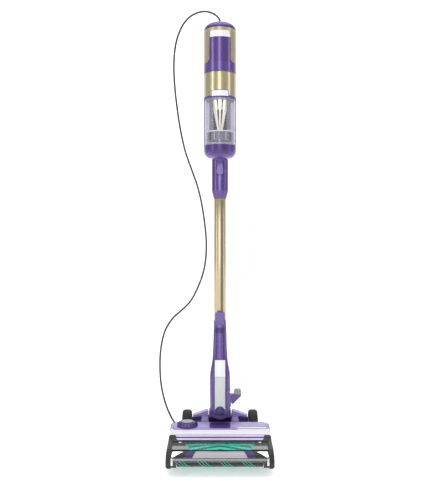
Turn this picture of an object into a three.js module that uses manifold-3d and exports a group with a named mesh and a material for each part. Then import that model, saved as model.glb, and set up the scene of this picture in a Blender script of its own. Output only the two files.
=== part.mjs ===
// A corded upright stick vacuum: a powered floor head, a two-way swivel neck, a metal wand and a
// handset with a cyclone dust cup. Millimetres, +Z up, the front faces -Y, and the origin is on the
// floor under the middle of the vacuum, measured without its mains lead.
import * as THREE from "three";
import { mergeVertices } from "three/addons/utils/BufferGeometryUtils.js";
import Module from "manifold-3d";

const wasm = await Module();
wasm.setup();

// ---- Driving dimensions -------------------------------------------------------------------------
const GAP = 0.3; // between neighbouring pieces
const RUN = 0.35; // radial clearance round a turning shaft

const HEAD_HALF = 134; // half the floor head's width
const COVER_HALF = 121; // half the width between the cheeks
const HEAD_BACK = 40; // rear face of the head's top cover
const BAY_HALF = 109; // half the width of the roller bay
const BAY_BACK = -48; // rear wall of the roller bay
const ROLLER = { y: -115, z: 19, r: 18 }; // soft front roller
const BRUSH = { y: -76, z: 22, r: 19.5 }; // bristle roll behind it
const MOTOR = { y: -10, z: 32, r: 16 }; // roll drive motor
const BELT_X = { brush: 114, roller: 118 }; // inner faces of the two belt runs
const BELT_WIDTH = 3;
const BELT_THICK = 1.5;
const PULLEY = { roll: 9, motor: 5 }; // belt pulley radii

const WHEEL = { y: 91, z: 45, r: 45, inner: 78, outer: 104 };
const ARM = { inner: 32, outer: 52 }; // carriage arms each side of the yoke
const PITCH = { y: 80, z: 60, pin: 6 }; // recline axis, along X
const SWIVEL = { z: 108, pin: 8, cap: 12.7 }; // roll axis, along Y
const YOKE_HALF = 29.5;

const WAND_Y = 35; // the wand's axis; the groups above the yoke are built about it
const NECK_TOP = 346;
const WAND_R = 16.2;
const WAND_WALL = 1.5;
const WAND_TOP = 672.7;
const SOCKET = { low: 673, shoulder: 696, high: 790, r: 22.5 };
const BORE = 14.5; // airway radius

const BARREL = { y: -70, r: 42 }; // handset barrel, measured from the wand's axis
const LID = { low: 771, high: 804 };
const CUP = { low: 804.3, high: 927.8 };
const BAND = { low: 928.1, high: 989 };
const HOUSING = { low: 989.3, step: 1014, high: 1095 };
const CAP_TOP = 1124;
const DUCT_HALF = 20;
const HANDLE_HALF = 15;

const DIAL = { x: -86, y: -2, r: 28, bore: 15 }; // scent dial on the head's top cover

const CORD_D = 5.5;
const COIL = { x: 0, y: 200, mean: 44, columns: 5, layers: 5 };
const GLAND = { x: 0, y: WAND_Y + 82, low: 1128 + GAP, high: 1165 };
const SEAM = 0.66; // share of the cord's route that hangs from the handset

// ---- Finishes -----------------------------------------------------------------------------------
const finish = (color, roughness, metalness, opacity = 1) =>
  new THREE.MeshStandardMaterial({
    color,
    roughness,
    metalness,
    opacity,
    transparent: opacity < 1,
  });
const PURPLE = finish(0x5d3b94, 0.3, 0.4);
const LAVENDER = finish(0x9c8cc4, 0.35, 0.3);
const GOLD = finish(0xc2ae84, 0.3, 0.8);
const SILVER = finish(0xc8c6cc, 0.3, 0.6);
const WHITE = finish(0xe6e6ea, 0.4, 0);
const BLACK = finish(0x202024, 0.5, 0);
const GREY = finish(0x6a6a70, 0.5, 0.1);
const RUBBER = finish(0x1b1b1d, 0.8, 0);
const TEAL = finish(0x2fa79a, 0.6, 0);
const CLEAR = finish(0xcfd4d8, 0.08, 0, 0.35);
const STEEL = finish(0xb0b2b6, 0.3, 0.9);
const FOAM = finish(0x3a3a44, 0.95, 0);

// ---- Solids -------------------------------------------------------------------------------------
// Turns a closed three.js geometry into a manifold-3d solid with its faces pointing out.
function solid(geometry) {
  const bare = geometry.index ? geometry.clone() : geometry;
  bare.deleteAttribute("normal");
  bare.deleteAttribute("uv");
  const merged = mergeVertices(bare, 1e-3);
  const corners = merged.index.array;
  const make = (flip) => {
    const triangles = [];
    for (let i = 0; i < corners.length; i += 3) {
      const [a, b, c] = [corners[i], corners[i + 1], corners[i + 2]];
      if (a === b || b === c || a === c) continue;
      triangles.push(...(flip ? [a, c, b] : [a, b, c]));
    }
    return new wasm.Manifold(
      new wasm.Mesh({
        numProp: 3,
        vertProperties: new Float32Array(merged.attributes.position.array),
        triVerts: new Uint32Array(triangles),
      }),
    );
  };
  const made = make(false);
  return made.volume() < 0 ? make(true) : made;
}

const joined = (first, ...rest) => rest.reduce((made, one) => made.add(one), first);
const cut = (first, ...rest) => rest.reduce((made, one) => made.subtract(one), first);

function block(x0, x1, y0, y1, z0, z1) {
  const box = new THREE.BoxGeometry(x1 - x0, y1 - y0, z1 - z0);
  return solid(box.translate((x0 + x1) / 2, (y0 + y1) / 2, (z0 + z1) / 2));
}

// A shape through the corners, each one rounded by the same radius.
function shapeOf(corners, radius = 0) {
  const points = corners.map(([a, b]) => new THREE.Vector2(a, b));
  if (!radius) return new THREE.Shape(points);
  const shape = new THREE.Shape();
  points.forEach((corner, i) => {
    const before = points[(i + points.length - 1) % points.length];
    const after = points[(i + 1) % points.length];
    const near = (other) => {
      const reach = Math.min(radius, corner.distanceTo(other) * 0.45);
      return corner.clone().lerp(other, reach / corner.distanceTo(other));
    };
    const start = near(before);
    const end = near(after);
    if (i === 0) shape.moveTo(start.x, start.y);
    else shape.lineTo(start.x, start.y);
    shape.quadraticCurveTo(corner.x, corner.y, end.x, end.y);
  });
  shape.closePath();
  return shape;
}

function extruded(shape, length, bevel = 0) {
  const geometry = new THREE.ExtrudeGeometry(shape, {
    depth: length - 2 * bevel,
    curveSegments: 3,
    bevelEnabled: bevel > 0,
    bevelThickness: bevel,
    bevelSize: bevel,
    bevelOffset: -bevel,
    bevelSegments: 1,
  });
  return geometry.translate(0, 0, bevel);
}

const BASIS = {
  x: new THREE.Matrix4().makeBasis(
    new THREE.Vector3(0, 1, 0),
    new THREE.Vector3(0, 0, 1),
    new THREE.Vector3(1, 0, 0),
  ),
  y: new THREE.Matrix4().makeBasis(
    new THREE.Vector3(1, 0, 0),
    new THREE.Vector3(0, 0, 1),
    new THREE.Vector3(0, -1, 0),
  ),
};

// Prisms: along X from corners in (y, z), along Y from corners in (x, z), along Z from (x, y).
const prismX = (shape, x0, x1, bevel) =>
  solid(extruded(shape, x1 - x0, bevel).applyMatrix4(BASIS.x).translate(x0, 0, 0));
const prismY = (shape, y0, y1, bevel) =>
  solid(extruded(shape, y1 - y0, bevel).applyMatrix4(BASIS.y).translate(0, y1, 0));
const prismZ = (shape, z0, z1, bevel) =>
  solid(extruded(shape, z1 - z0, bevel).translate(0, 0, z0));

// Round bars along each axis, placed by the other two coordinates.
function bar(radius, length, sides) {
  return new THREE.CylinderGeometry(radius, radius, length, sides);
}
const barX = (r, x0, x1, y, z, sides = 24) =>
  solid(bar(r, x1 - x0, sides).rotateZ(Math.PI / 2).translate((x0 + x1) / 2, y, z));
const barY = (r, y0, y1, x, z, sides = 24) =>
  solid(bar(r, y1 - y0, sides).translate(x, (y0 + y1) / 2, z));
const barZ = (r, z0, z1, x, y, sides = 24) =>
  solid(bar(r, z1 - z0, sides).rotateX(Math.PI / 2).translate(x, y, (z0 + z1) / 2));

// A turned solid about the vertical line through (x, y), from a profile of (radius, z).
function turned(profile, x, y, sides = 32) {
  const points = profile.map(([r, z]) => new THREE.Vector2(r, z));
  const lathe = new THREE.LatheGeometry(points, sides).rotateX(Math.PI / 2);
  return solid(lathe.translate(x, y, 0));
}
const pipe = (outer, inner, z0, z1, x, y, sides = 32) =>
  turned(
    [
      [inner, z0],
      [outer, z0],
      [outer, z1],
      [inner, z1],
      [inner, z0],
    ],
    x,
    y,
    sides,
  );

const mirrorX = (made) => made.mirror([1, 0, 0]);

// ---- The scene graph ----------------------------------------------------------------------------
const vacuum = new THREE.Group();
const upper = new THREE.Group(); // everything built about the wand's axis
upper.position.y = WAND_Y;
vacuum.add(upper);

function put(group, name, made, material) {
  const { vertProperties, triVerts } = made.getMesh();
  const geometry = new THREE.BufferGeometry();
  geometry.setAttribute("position", new THREE.BufferAttribute(vertProperties, 3));
  geometry.setIndex(new THREE.BufferAttribute(triVerts, 1));
  geometry.computeVertexNormals();
  const mesh = new THREE.Mesh(geometry, material);
  mesh.name = name;
  group.add(mesh);
}

// ---- Floor head ---------------------------------------------------------------------------------
const CHEEK_OUTLINE = [
  [-118, 1.5],
  [-131, 6],
  [-133.5, 20],
  [-126, 34],
  [-110, 43],
  [-66, 51],
  [-46, 62],
  [-20, 68],
  [28, 69],
  [38.5, 60],
  [38.5, 6],
  [30, 1.5],
];

function floorHead() {
  const chassis = shapeOf([
    [-120, 8],
    [-129, 20],
    [-122, 31],
    [-110, 37.5],
    [-67, 43.5],
    [-48, 54],
    [-24, 62],
    [34, 66],
    [38, 60],
    [38, 7],
  ]);
  const base = cut(
    prismX(chassis, -COVER_HALF + GAP, BELT_X.brush - 1.4),
    block(-BAY_HALF, BAY_HALF, -140, BAY_BACK, -1, 70),
    block(36, 100, -32, 14, 12, 70),
    block(-100, -36, -32, 14, 12, 70),
    block(-BORE, BORE, BAY_BACK - 1, HEAD_BACK, 18, 70),
    ...[ROLLER, BRUSH].map((roll) => barX(5 + RUN, -115, 120, roll.y, roll.z)),
    barX(3 + RUN, 90, 120, MOTOR.y, MOTOR.z),
  );
  put(vacuum, "head_base", base, BLACK);

  const skid = (x0, x1) => block(x0, x1, -43, -32, 0, 4);
  const tray = block(-BAY_HALF, BAY_HALF, BAY_BACK + 0.5, 37, 3, 6.7);
  const sole = joined(tray, skid(60, 100), skid(-100, -60));
  put(vacuum, "sole_plate", sole, BLACK);

  const cover = shapeOf([
    [-24.4, 66.6],
    [-24.4, 70],
    [-18, 71.6],
    [30, 72.5],
    [37, 71],
    [HEAD_BACK, 66],
    [HEAD_BACK, 8],
    [38.3, 8],
    [38.3, 66.4],
  ]);
  put(
    vacuum,
    "top_cover",
    cut(prismX(cover, -COVER_HALF, COVER_HALF), barY(BORE, 30, 50, 0, 32)),
    LAVENDER,
  );

  const stripe = shapeOf([
    [-24.7, 62.5],
    [-24.7, 69.6],
    [-46.5, 61],
    [-46.5, 55.5],
  ]);
  put(vacuum, "top_trim", prismX(stripe, -COVER_HALF, COVER_HALF), WHITE);

  const bezel = shapeOf([
    [-46.8, 55],
    [-46.8, 60.8],
    [-50, 60.4],
    [-65, 49.5],
    [-65, 45.5],
  ]);
  put(vacuum, "light_bar_bezel", prismX(bezel, -COVER_HALF, COVER_HALF), SILVER);

  const pane = shapeOf([
    [-65.3, 45],
    [-65.3, 48.8],
    [-113, 42.4],
    [-113, 39],
  ]);
  put(vacuum, "brush_window", prismX(pane, -86, 86), CLEAR);
  const lamp = prismX(pane, 86 + GAP, COVER_HALF);
  put(vacuum, "right_headlight", lamp, WHITE);
  put(vacuum, "left_headlight", mirrorX(lamp), WHITE);

  // The visor curls down round the front of the soft roller.
  const visor = new THREE.Shape();
  const curl = ROLLER.r + 3;
  visor.moveTo(-113.3, 39.2);
  visor.lineTo(-113.3, 42.2);
  visor.absarc(ROLLER.y, ROLLER.z + 0.5, curl, Math.PI * 0.58, Math.PI * 1.02, false);
  visor.absarc(ROLLER.y, ROLLER.z + 0.5, curl - 2, Math.PI * 1.02, Math.PI * 0.58, true);
  visor.closePath();
  put(vacuum, "front_visor", prismX(visor, -COVER_HALF, COVER_HALF), CLEAR);

  const badge = shapeOf([
    [-122.6, 42.1],
    [-134.3, 30.4],
    [-135.4, 31.5],
    [-123.7, 43.2],
  ]);
  put(vacuum, "badge_plate", prismX(badge, -66, 66), SILVER);

  const cheek = prismX(shapeOf(CHEEK_OUTLINE, 5), COVER_HALF + GAP, HEAD_HALF, 2);
  put(vacuum, "right_cheek", cheek, BLACK);
  put(vacuum, "left_cheek", mirrorX(cheek), BLACK);

  put(vacuum, "squeegee", block(-104, 104, -47.2, -44.2, 0.8, 2.7), RUBBER);
}

// ---- Rolls and their drive ----------------------------------------------------------------------
function roll({ y, z, r }, pulleyX) {
  return joined(
    barX(r, -BAY_HALF + 1, BAY_HALF - 1, y, z, 32),
    barX(5, -114, BELT_X.brush - 0.5, y, z),
    barX(PULLEY.roll, BELT_X.brush - 1, pulleyX, y, z),
  );
}

function beltLoop(a, ra, b, rb, x) {
  const wrap = (extra) =>
    joined(
      barX(ra + extra, x, x + BELT_WIDTH, a.y, a.z),
      barX(rb + extra, x, x + BELT_WIDTH, b.y, b.z),
      tangentSlab(a, ra + extra, b, rb + extra, x),
    );
  return cut(wrap(GAP + BELT_THICK), wrap(GAP));
}

// The slab between two pulleys, bounded by their outer tangents.
function tangentSlab(a, ra, b, rb, x) {
  const away = new THREE.Vector2(b.y - a.y, b.z - a.z);
  const lean = Math.acos((ra - rb) / away.length());
  const corner = (centre, r, turn) => {
    const angle = away.angle() + turn;
    return [centre.y + r * Math.cos(angle), centre.z + r * Math.sin(angle)];
  };
  const corners = [corner(a, ra, -lean), corner(b, rb, -lean), corner(b, rb, lean), corner(a, ra, lean)];
  return prismX(shapeOf(corners), x, x + BELT_WIDTH);
}

function drive() {
  put(vacuum, "front_roller", roll(ROLLER, BELT_X.roller + BELT_WIDTH - 0.5), RUBBER);
  put(vacuum, "brush_roll", roll(BRUSH, BELT_X.roller + BELT_WIDTH - 0.5), TEAL);
  put(vacuum, "brush_motor", barX(MOTOR.r, 44, 98, MOTOR.y, MOTOR.z), STEEL);
  const pulley = joined(
    barX(3, 98 + GAP, BELT_X.brush + BELT_WIDTH, MOTOR.y, MOTOR.z),
    barX(PULLEY.motor, BELT_X.brush, BELT_X.brush + BELT_WIDTH, MOTOR.y, MOTOR.z),
  );
  put(vacuum, "motor_pulley", pulley, STEEL);
  put(vacuum, "drive_belt", beltLoop(BRUSH, PULLEY.roll, MOTOR, PULLEY.motor, BELT_X.brush), RUBBER);
  put(vacuum, "roller_belt", beltLoop(ROLLER, PULLEY.roll, BRUSH, PULLEY.roll, BELT_X.roller), RUBBER);
}

// ---- Scent dial ---------------------------------------------------------------------------------
function scentDial() {
  const ring = pipe(DIAL.r, DIAL.bore, 72.9, 82, DIAL.x, DIAL.y);
  const grip = block(DIAL.x - 3, DIAL.x + 3, DIAL.y - DIAL.r + 1, DIAL.y - DIAL.bore - 1, 81, 84);
  put(vacuum, "odour_dial", ring.add(grip), PURPLE);
  put(vacuum, "odour_cartridge", barZ(DIAL.bore - GAP, 73, 81, DIAL.x, DIAL.y, 32), GREY);
}

// ---- Carriage and rear wheels -------------------------------------------------------------------
function carriage() {
  const side = shapeOf([
    [HEAD_BACK + GAP, 12],
    [HEAD_BACK + GAP, 62],
    [62, 66],
    [72, 90],
    [88, 91],
    [104, 70],
    [112, 48],
    [102, 12],
  ], 4);
  const arm = prismX(side, ARM.inner, ARM.outer, 2);
  const strut = shapeOf([
    [76, 30],
    [76, 58],
    [104, 60],
    [106, 30],
  ], 4);
  const outrigger = prismX(strut, ARM.outer - 1, WHEEL.inner - 4);
  const frame = joined(
    arm,
    outrigger,
    mirrorX(arm),
    mirrorX(outrigger),
    block(-ARM.inner - 3, ARM.inner + 3, HEAD_BACK + GAP, 100, 14, 24),
  );
  const bored = cut(
    frame,
    barX(PITCH.pin + GAP, -60, 60, PITCH.y, PITCH.z),
    barX(5 + GAP, 40, 90, WHEEL.y, WHEEL.z),
    barX(5 + GAP, -90, -40, WHEEL.y, WHEEL.z),
  );
  put(vacuum, "wheel_carriage", bored, LAVENDER);
  put(vacuum, "pitch_pin", barX(PITCH.pin, -ARM.outer + 1, ARM.outer - 1, PITCH.y, PITCH.z), STEEL);

  const axle = barX(5, 40 + GAP, WHEEL.outer - 1, WHEEL.y, WHEEL.z);
  put(vacuum, "right_axle", axle, STEEL);
  put(vacuum, "left_axle", mirrorX(axle), STEEL);
  const wheel = cut(wheelBlank(), barX(5 + RUN, WHEEL.inner - 1, WHEEL.outer + 1, WHEEL.y, WHEEL.z));
  put(vacuum, "right_wheel", wheel, BLACK);
  put(vacuum, "left_wheel", mirrorX(wheel), BLACK);
}

function wheelBlank() {
  const middle = (WHEEL.inner + WHEEL.outer) / 2;
  const half = (WHEEL.outer - WHEEL.inner) / 2;
  const profile = [
    [0, -half],
    [WHEEL.r - 3, -half],
    [WHEEL.r, -half + 3],
    [WHEEL.r, half - 3],
    [WHEEL.r - 3, half],
    [0, half],
  ].map(([r, along]) => new THREE.Vector2(r, along));
  const lathe = new THREE.LatheGeometry(profile, 48).rotateZ(Math.PI / 2);
  return solid(lathe.translate(middle, WHEEL.y, WHEEL.z));
}

// ---- Yoke: reclines on the pitch pin, and carries the swivel ------------------------------------
function yoke() {
  const body = shapeOf([
    [22.5, 85],
    [22.5, 104],
    [62, 104],
    [84, 88],
    [94, 76],
    [97, 60],
    [70, 46],
    [60, 58],
    [44, 80],
  ], 4);
  const tongue = barY(27, 22.5, 62.5, 0, SWIVEL.z, 32);
  const made = cut(
    joined(
      barX(19, -ARM.inner + 2 * GAP, ARM.inner - 2 * GAP, PITCH.y, PITCH.z),
      prismX(body, -YOKE_HALF, YOKE_HALF),
      tongue,
    ),
    barX(PITCH.pin + RUN, -60, 60, PITCH.y, PITCH.z),
    barY(SWIVEL.pin + RUN, 0, 80, 0, SWIVEL.z),
  );
  put(vacuum, "yoke", made, BLACK);
}

// ---- Neck ---------------------------------------------------------------------------------------
function neck() {
  const frontView = shapeOf([
    [-19, 96.5],
    [19, 96.5],
    [27.2, 108],
    [28, 197],
    [21, 233],
    [16.8, NECK_TOP],
    [-16.8, NECK_TOP],
    [-21, 233],
    [-28, 197],
    [-27.2, 108],
  ], 5);
  const sideView = shapeOf([
    [-28, 90],
    [28, 90],
    [28, 200],
    [21, 240],
    [17.5, 350],
    [-17.5, 350],
    [-21, 240],
    [-28, 200],
  ]);
  const blank = prismY(frontView, -28, 28, 2).intersect(prismX(sideView, -40, 40));
  const shell = cut(
    blank,
    barY(31, -13.8, 40, 0, SWIVEL.z, 40),
    barZ(13.5, 138, NECK_TOP + 1, 0, 0),
    barY(SWIVEL.pin + GAP, -40, 40, 0, SWIVEL.z),
    block(-14.5, 14.5, -30, -26, 121.7, 199.3),
    block(-13.8, 13.8, -30, -16.5, 334, 400),
  );
  put(upper, "neck_front_shell", cut(shell, block(-60, 60, 0, 60, 0, 500)), PURPLE);
  put(upper, "neck_back_shell", cut(shell, block(-60, 60, -60, GAP, 0, 500)), PURPLE);
  const panel = shapeOf([
    [-14.2, 122],
    [14.2, 122],
    [14.2, 199],
    [-14.2, 199],
  ], 4);
  put(upper, "neck_panel", prismY(panel, -28.6, -26 - GAP), WHITE);
  const pin = joined(
    barY(SWIVEL.pin, -28, 27, 0, SWIVEL.z),
    barY(SWIVEL.cap, -31, -28 - GAP, 0, SWIVEL.z),
    barY(SWIVEL.pin, -29, -27, 0, SWIVEL.z),
  );
  put(upper, "swivel_pin", pin, PURPLE);

  const ribs = [];
  const pitch = 18;
  for (let z = 141; z + pitch < NECK_TOP - 1; z += pitch) {
    ribs.push([12.9, z], [12.9, z + pitch * 0.45], [11.4, z + pitch * 0.55], [11.4, z + pitch * 0.9]);
  }
  const top = ribs[ribs.length - 1][1];
  const hose = turned([[10, 141], ...ribs, [10, top], [10, 141]], 0, 0, 14);
  put(upper, "dust_hose", hose, RUBBER);

  const hook = shapeOf([
    [28.5, 131],
    [44, 127],
    [57, 139],
    [57, 161],
    [50, 161],
    [50, 145],
    [42, 137],
    [28.5, 141],
  ], 3);
  put(upper, "cord_hook", prismY(hook, -7, 7, 1), PURPLE);

  const tab = shapeOf([
    [-13.4, 335],
    [13.4, 335],
    [12.6, 369],
    [-12.6, 369],
  ], 4);
  put(upper, "lower_release_tab", prismY(tab, -21.5, -18.7, 0.8), PURPLE);
}

// ---- Wand and its upper socket ------------------------------------------------------------------
function wand() {
  put(upper, "wand_tube", pipe(WAND_R, WAND_R - WAND_WALL, NECK_TOP + GAP, WAND_TOP, 0, 0), GOLD);

  const outside = turned(
    [
      [0, SOCKET.low],
      [17, SOCKET.low],
      [SOCKET.r, SOCKET.shoulder],
      [SOCKET.r, SOCKET.high],
      [0, SOCKET.high],
    ],
    0,
    0,
  );
  const pill = (grow) =>
    shapeOf([
      [-10.4 - grow, 733 - grow],
      [10.4 + grow, 733 - grow],
      [10.4 + grow, 783 + grow],
      [-10.4 - grow, 783 + grow],
    ], 10);
  const socket = cut(
    outside,
    barZ(BORE, SOCKET.low - 1, SOCKET.high + 1, 0, 0),
    prismY(pill(0.4), -30, -17.4),
  );
  put(upper, "wand_connector", socket, PURPLE);
  put(upper, "wand_release_button", prismY(pill(0), -24.8, -19.9, 1), PURPLE);
}

// ---- Handset ------------------------------------------------------------------------------------
const FRONT_ANGLE = -Math.PI / 2;

// Part of a barrel wall between two angles, measured from the front.
function wallArc(outer, inner, z0, z1, from, to) {
  const shape = new THREE.Shape();
  shape.absarc(0, 0, outer, FRONT_ANGLE + from, FRONT_ANGLE + to, false);
  shape.absarc(0, 0, inner, FRONT_ANGLE + to, FRONT_ANGLE + from, true);
  shape.closePath();
  const options = { depth: z1 - z0, curveSegments: 10, bevelEnabled: false };
  const geometry = new THREE.ExtrudeGeometry(shape, options);
  return solid(geometry.translate(0, BARREL.y, z0));
}

function barrel() {
  const wall = 4;
  const y = BARREL.y;
  const lined = BARREL.r - 2.3; // radius behind the front panel and the grilles
  const housing = cut(
    joined(
      barZ(BARREL.r, HOUSING.low, HOUSING.step, 0, y, 40),
      barZ(lined, HOUSING.step - 1, HOUSING.high, 0, y, 40),
      wallArc(BARREL.r, lined - 1, HOUSING.step - 1, HOUSING.high, 2.08, 2 * Math.PI - 2.08),
    ),
    barZ(lined - 1.7, HOUSING.low + wall, HOUSING.high + 1, 0, y, 40),
    barZ(20, HOUSING.low - 1, HOUSING.low + wall + 1, 0, y),
  );
  put(upper, "motor_housing", housing, PURPLE);
  put(upper, "gold_band", pipe(BARREL.r, BARREL.r - wall, BAND.low, BAND.high, 0, y, 40), GOLD);

  const panelEdge = 0.715;
  const grilleEnd = 2.07;
  const low = HOUSING.step + GAP;
  const high = HOUSING.high - GAP;
  const skin = (from, to) => wallArc(BARREL.r, lined + GAP, low, high, from, to);
  put(upper, "front_panel", skin(-panelEdge, panelEdge), PURPLE);
  put(upper, "right_grille", skin(panelEdge + 0.01, grilleEnd), GOLD);
  put(upper, "left_grille", skin(-grilleEnd, -panelEdge - 0.01), GOLD);

  const dome = turned(
    [
      [0, HOUSING.high + GAP],
      [BARREL.r, HOUSING.high + GAP],
      [BARREL.r, 1104],
      [38, 1113],
      [27, 1120.5],
      [12, CAP_TOP],
      [0, CAP_TOP],
    ],
    0,
    y,
    40,
  );
  put(upper, "top_cap", dome, PURPLE);

  put(upper, "hepa_filter", pipe(35, 8, 1072, 1094, 0, y), WHITE);
  const motor = joined(barZ(31, 1010, 1066, 0, y), barZ(2.5, 996, 1011, 0, y, 16));
  put(upper, "suction_motor", motor, STEEL);
  const fan = joined(barZ(30, 1003, 1006, 0, y), barZ(8, 997, 1006, 0, y), ...vanes(y));
  put(upper, "impeller", cut(fan, barZ(2.5 + RUN, 990, 1010, 0, y, 16)), STEEL);
  put(upper, "premotor_filter", barZ(36, 932, 956, 0, y), FOAM);
}

function vanes(y) {
  const count = 9;
  const fins = [];
  for (let i = 0; i < count; i += 1) {
    const turn = (i * 360) / count;
    fins.push(block(6, 29, -0.9, 0.9, 998, 1004).rotate([0, 0, turn]).translate([0, y, 0]));
  }
  return fins;
}

function cyclone() {
  const y = BARREL.y;
  const inlet = barY(11, y + 20, y + 60, 0, 900);
  const cup = cut(pipe(BARREL.r, BARREL.r - 2, CUP.low, CUP.high, 0, y, 40), inlet);
  put(upper, "dust_cup", cup, CLEAR);
  const cone = turned(
    [
      [8, 838],
      [11, 838],
      [27, 902],
      [27, 920],
      [38.5, 922],
      [38.5, 926],
      [20, 926],
      [20, 904],
      [8, 838],
    ],
    0,
    y,
    32,
  );
  put(upper, "cyclone_cone", cone, SILVER);

  const lidBody = cut(
    turned(
      [
        [0, LID.low],
        [36, LID.low],
        [BARREL.r, LID.low + 8],
        [BARREL.r, LID.high],
        [0, LID.high],
      ],
      0,
      y,
      40,
    ),
    barZ(BARREL.r - 4, LID.low + 5, LID.high + 1, 0, y, 40),
  );
  const lug = block(-12, 12, y + 30, y + 44, LID.low, LID.low + 5);
  put(upper, "cup_lid", lidBody.add(lug), PURPLE);
}

function spine() {
  const outline = shapeOf([
    [-DUCT_HALF, BARREL.y + BARREL.r + 0.5],
    [DUCT_HALF, BARREL.y + BARREL.r + 0.5],
    [DUCT_HALF, 18],
    [-DUCT_HALF, 18],
  ], 6);
  const made = cut(
    prismZ(outline, 806, 958),
    barZ(BORE, 780, 915, 0, 0),
    barY(11, -40, 0, 0, 900),
  );
  const foot = shapeOf([
    [-DUCT_HALF, -20],
    [DUCT_HALF, -20],
    [DUCT_HALF, 18],
    [-DUCT_HALF, 18],
  ], 6);
  const lower = cut(prismZ(foot, SOCKET.high + GAP, 807), barZ(BORE, 780, 915, 0, 0));
  put(upper, "rear_duct", made.add(lower), PURPLE);
  put(upper, "lid_release", block(DUCT_HALF + GAP, DUCT_HALF + 4, -12, 4, 860, 885), BLACK);

  const loop = shapeOf([
    [-27.4, 958 + GAP],
    [-27.4, 1100],
    [-20, 1118],
    [20, 1124],
    [70, 1128],
    [94, 1128],
    [98, 1090],
    [90, 1010],
    [62, 966],
    [18, 958 + GAP],
  ], 10);
  const hole = shapeOf([
    [-10, 984],
    [-10, 1092],
    [20, 1098],
    [66, 1100],
    [72, 1080],
    [64, 1016],
    [44, 988],
  ], 12);
  const button = barZ(8.4, 1112, 1140, 0, 34);
  const grip = cut(
    prismX(loop, -HANDLE_HALF, HANDLE_HALF, 3),
    prismX(hole, -40, 40),
    button,
  );
  put(upper, "handle", grip, PURPLE);
  put(upper, "power_button", barZ(8, 1115, 1127.5, 0, 34), GREY);
}

// ---- Mains lead ---------------------------------------------------------------------------------
const CORD_POINTS = [
  [0, 117, 1165.3],
  [0, 117, 1178],
  [-9, 117, 1192],
  [-26, 117, 1202],
  [-47, 117, 1205],
  [-76, 117, 1196],
  [-100, 117, 1174],
  [-117, 117, 1140],
  [-126, 117, 1105],
  [-130, 117, 1050],
  [-127, 117, 990],
  [-121, 117, 935],
  [-113, 117, 881],
  [-98, 117, 812],
  [-80, 117, 760],
  [-62, 117, 708],
  [-47, 117, 636],
  [-38.5, 117, 548],
  [-44, 117, 484],
  [-61, 117, 431],
  [-84, 117, 388],
  [-110, 117, 362],
  [-134, 118, 340],
  [-155, 120, 305],
  [-167, 123, 255],
  [-170, 127, 200],
  [-166, 132, 145],
  [-154, 139, 92],
  [-136, 148, 48],
  [-115, 158, 18],
  [-96, 168, 5],
  [-80, 176, 3.1],
  [-66, 185, 3.1],
];

// The whole route is one smooth curve; each stretch follows its own share of it.
const ROUTE = new THREE.CatmullRomCurve3(
  CORD_POINTS.map(([x, y, z]) => new THREE.Vector3(x, y, z)),
  false,
  "centripetal",
);

function cordStretch(from, to) {
  const steps = Math.ceil((ROUTE.getLength() * (to - from)) / (3 * CORD_D));
  const points = [];
  for (let i = 0; i <= steps; i += 1) {
    points.push(ROUTE.getPointAt(from + ((to - from) * i) / steps));
  }
  const section = new THREE.Shape().absarc(0, 0, CORD_D / 2, 0, 2 * Math.PI);
  const extrudePath = new THREE.CatmullRomCurve3(points);
  return solid(new THREE.ExtrudeGeometry(section, { steps, extrudePath, curveSegments: 4 }));
}

function mainsLead() {
  const gland = turned(
    [
      [0, GLAND.low],
      [9, GLAND.low],
      [9, GLAND.low + 5],
      [6.5, GLAND.low + 7],
      [4.6, GLAND.high],
      [0, GLAND.high],
    ],
    GLAND.x,
    GLAND.y,
    20,
  );
  put(vacuum, "cord_gland", gland, BLACK);

  put(vacuum, "cord_upper", cordStretch(0, SEAM - 0.0005), RUBBER);
  put(vacuum, "cord_lower", cordStretch(SEAM + 0.0005, 1), RUBBER);

  const wound = (COIL.columns * CORD_D) / 2 + 0.4;
  const ring = pipe(
    COIL.mean + wound,
    COIL.mean - wound,
    0,
    COIL.layers * CORD_D + 0.4,
    COIL.x,
    COIL.y,
    40,
  );
  put(vacuum, "cord_coil", ring, RUBBER);

  const top = COIL.layers * CORD_D + 0.7;
  const body = shapeOf([
    [COIL.x - 20, top],
    [COIL.x + 26, top],
    [COIL.x + 26, top + 20],
    [COIL.x - 20, top + 16],
  ], 3);
  const blade = (y) => block(COIL.x + 25, COIL.x + 43, y - 3.2, y + 3.2, top + 8, top + 9.6);
  const plug = joined(
    prismY(body, COIL.y + 31, COIL.y + 57, 2),
    blade(COIL.y + 44 - 6.3),
    blade(COIL.y + 44 + 6.3),
  );
  put(vacuum, "plug", plug, BLACK);
}

floorHead();
drive();
scentDial();
carriage();
yoke();
neck();
wand();
barrel();
cyclone();
spine();
mainsLead();

export default vacuum;
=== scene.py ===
"""A corded stick vacuum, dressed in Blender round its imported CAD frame.

Lengths are millimetres until a mesh is made. X is to the right, -Y is the front and Z is up. Sizes
come from the frame's own boxes where a CAD node gives them, and the rest are named here."""

import math

import bmesh
import bpy
from mathutils import Matrix, Vector


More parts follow.
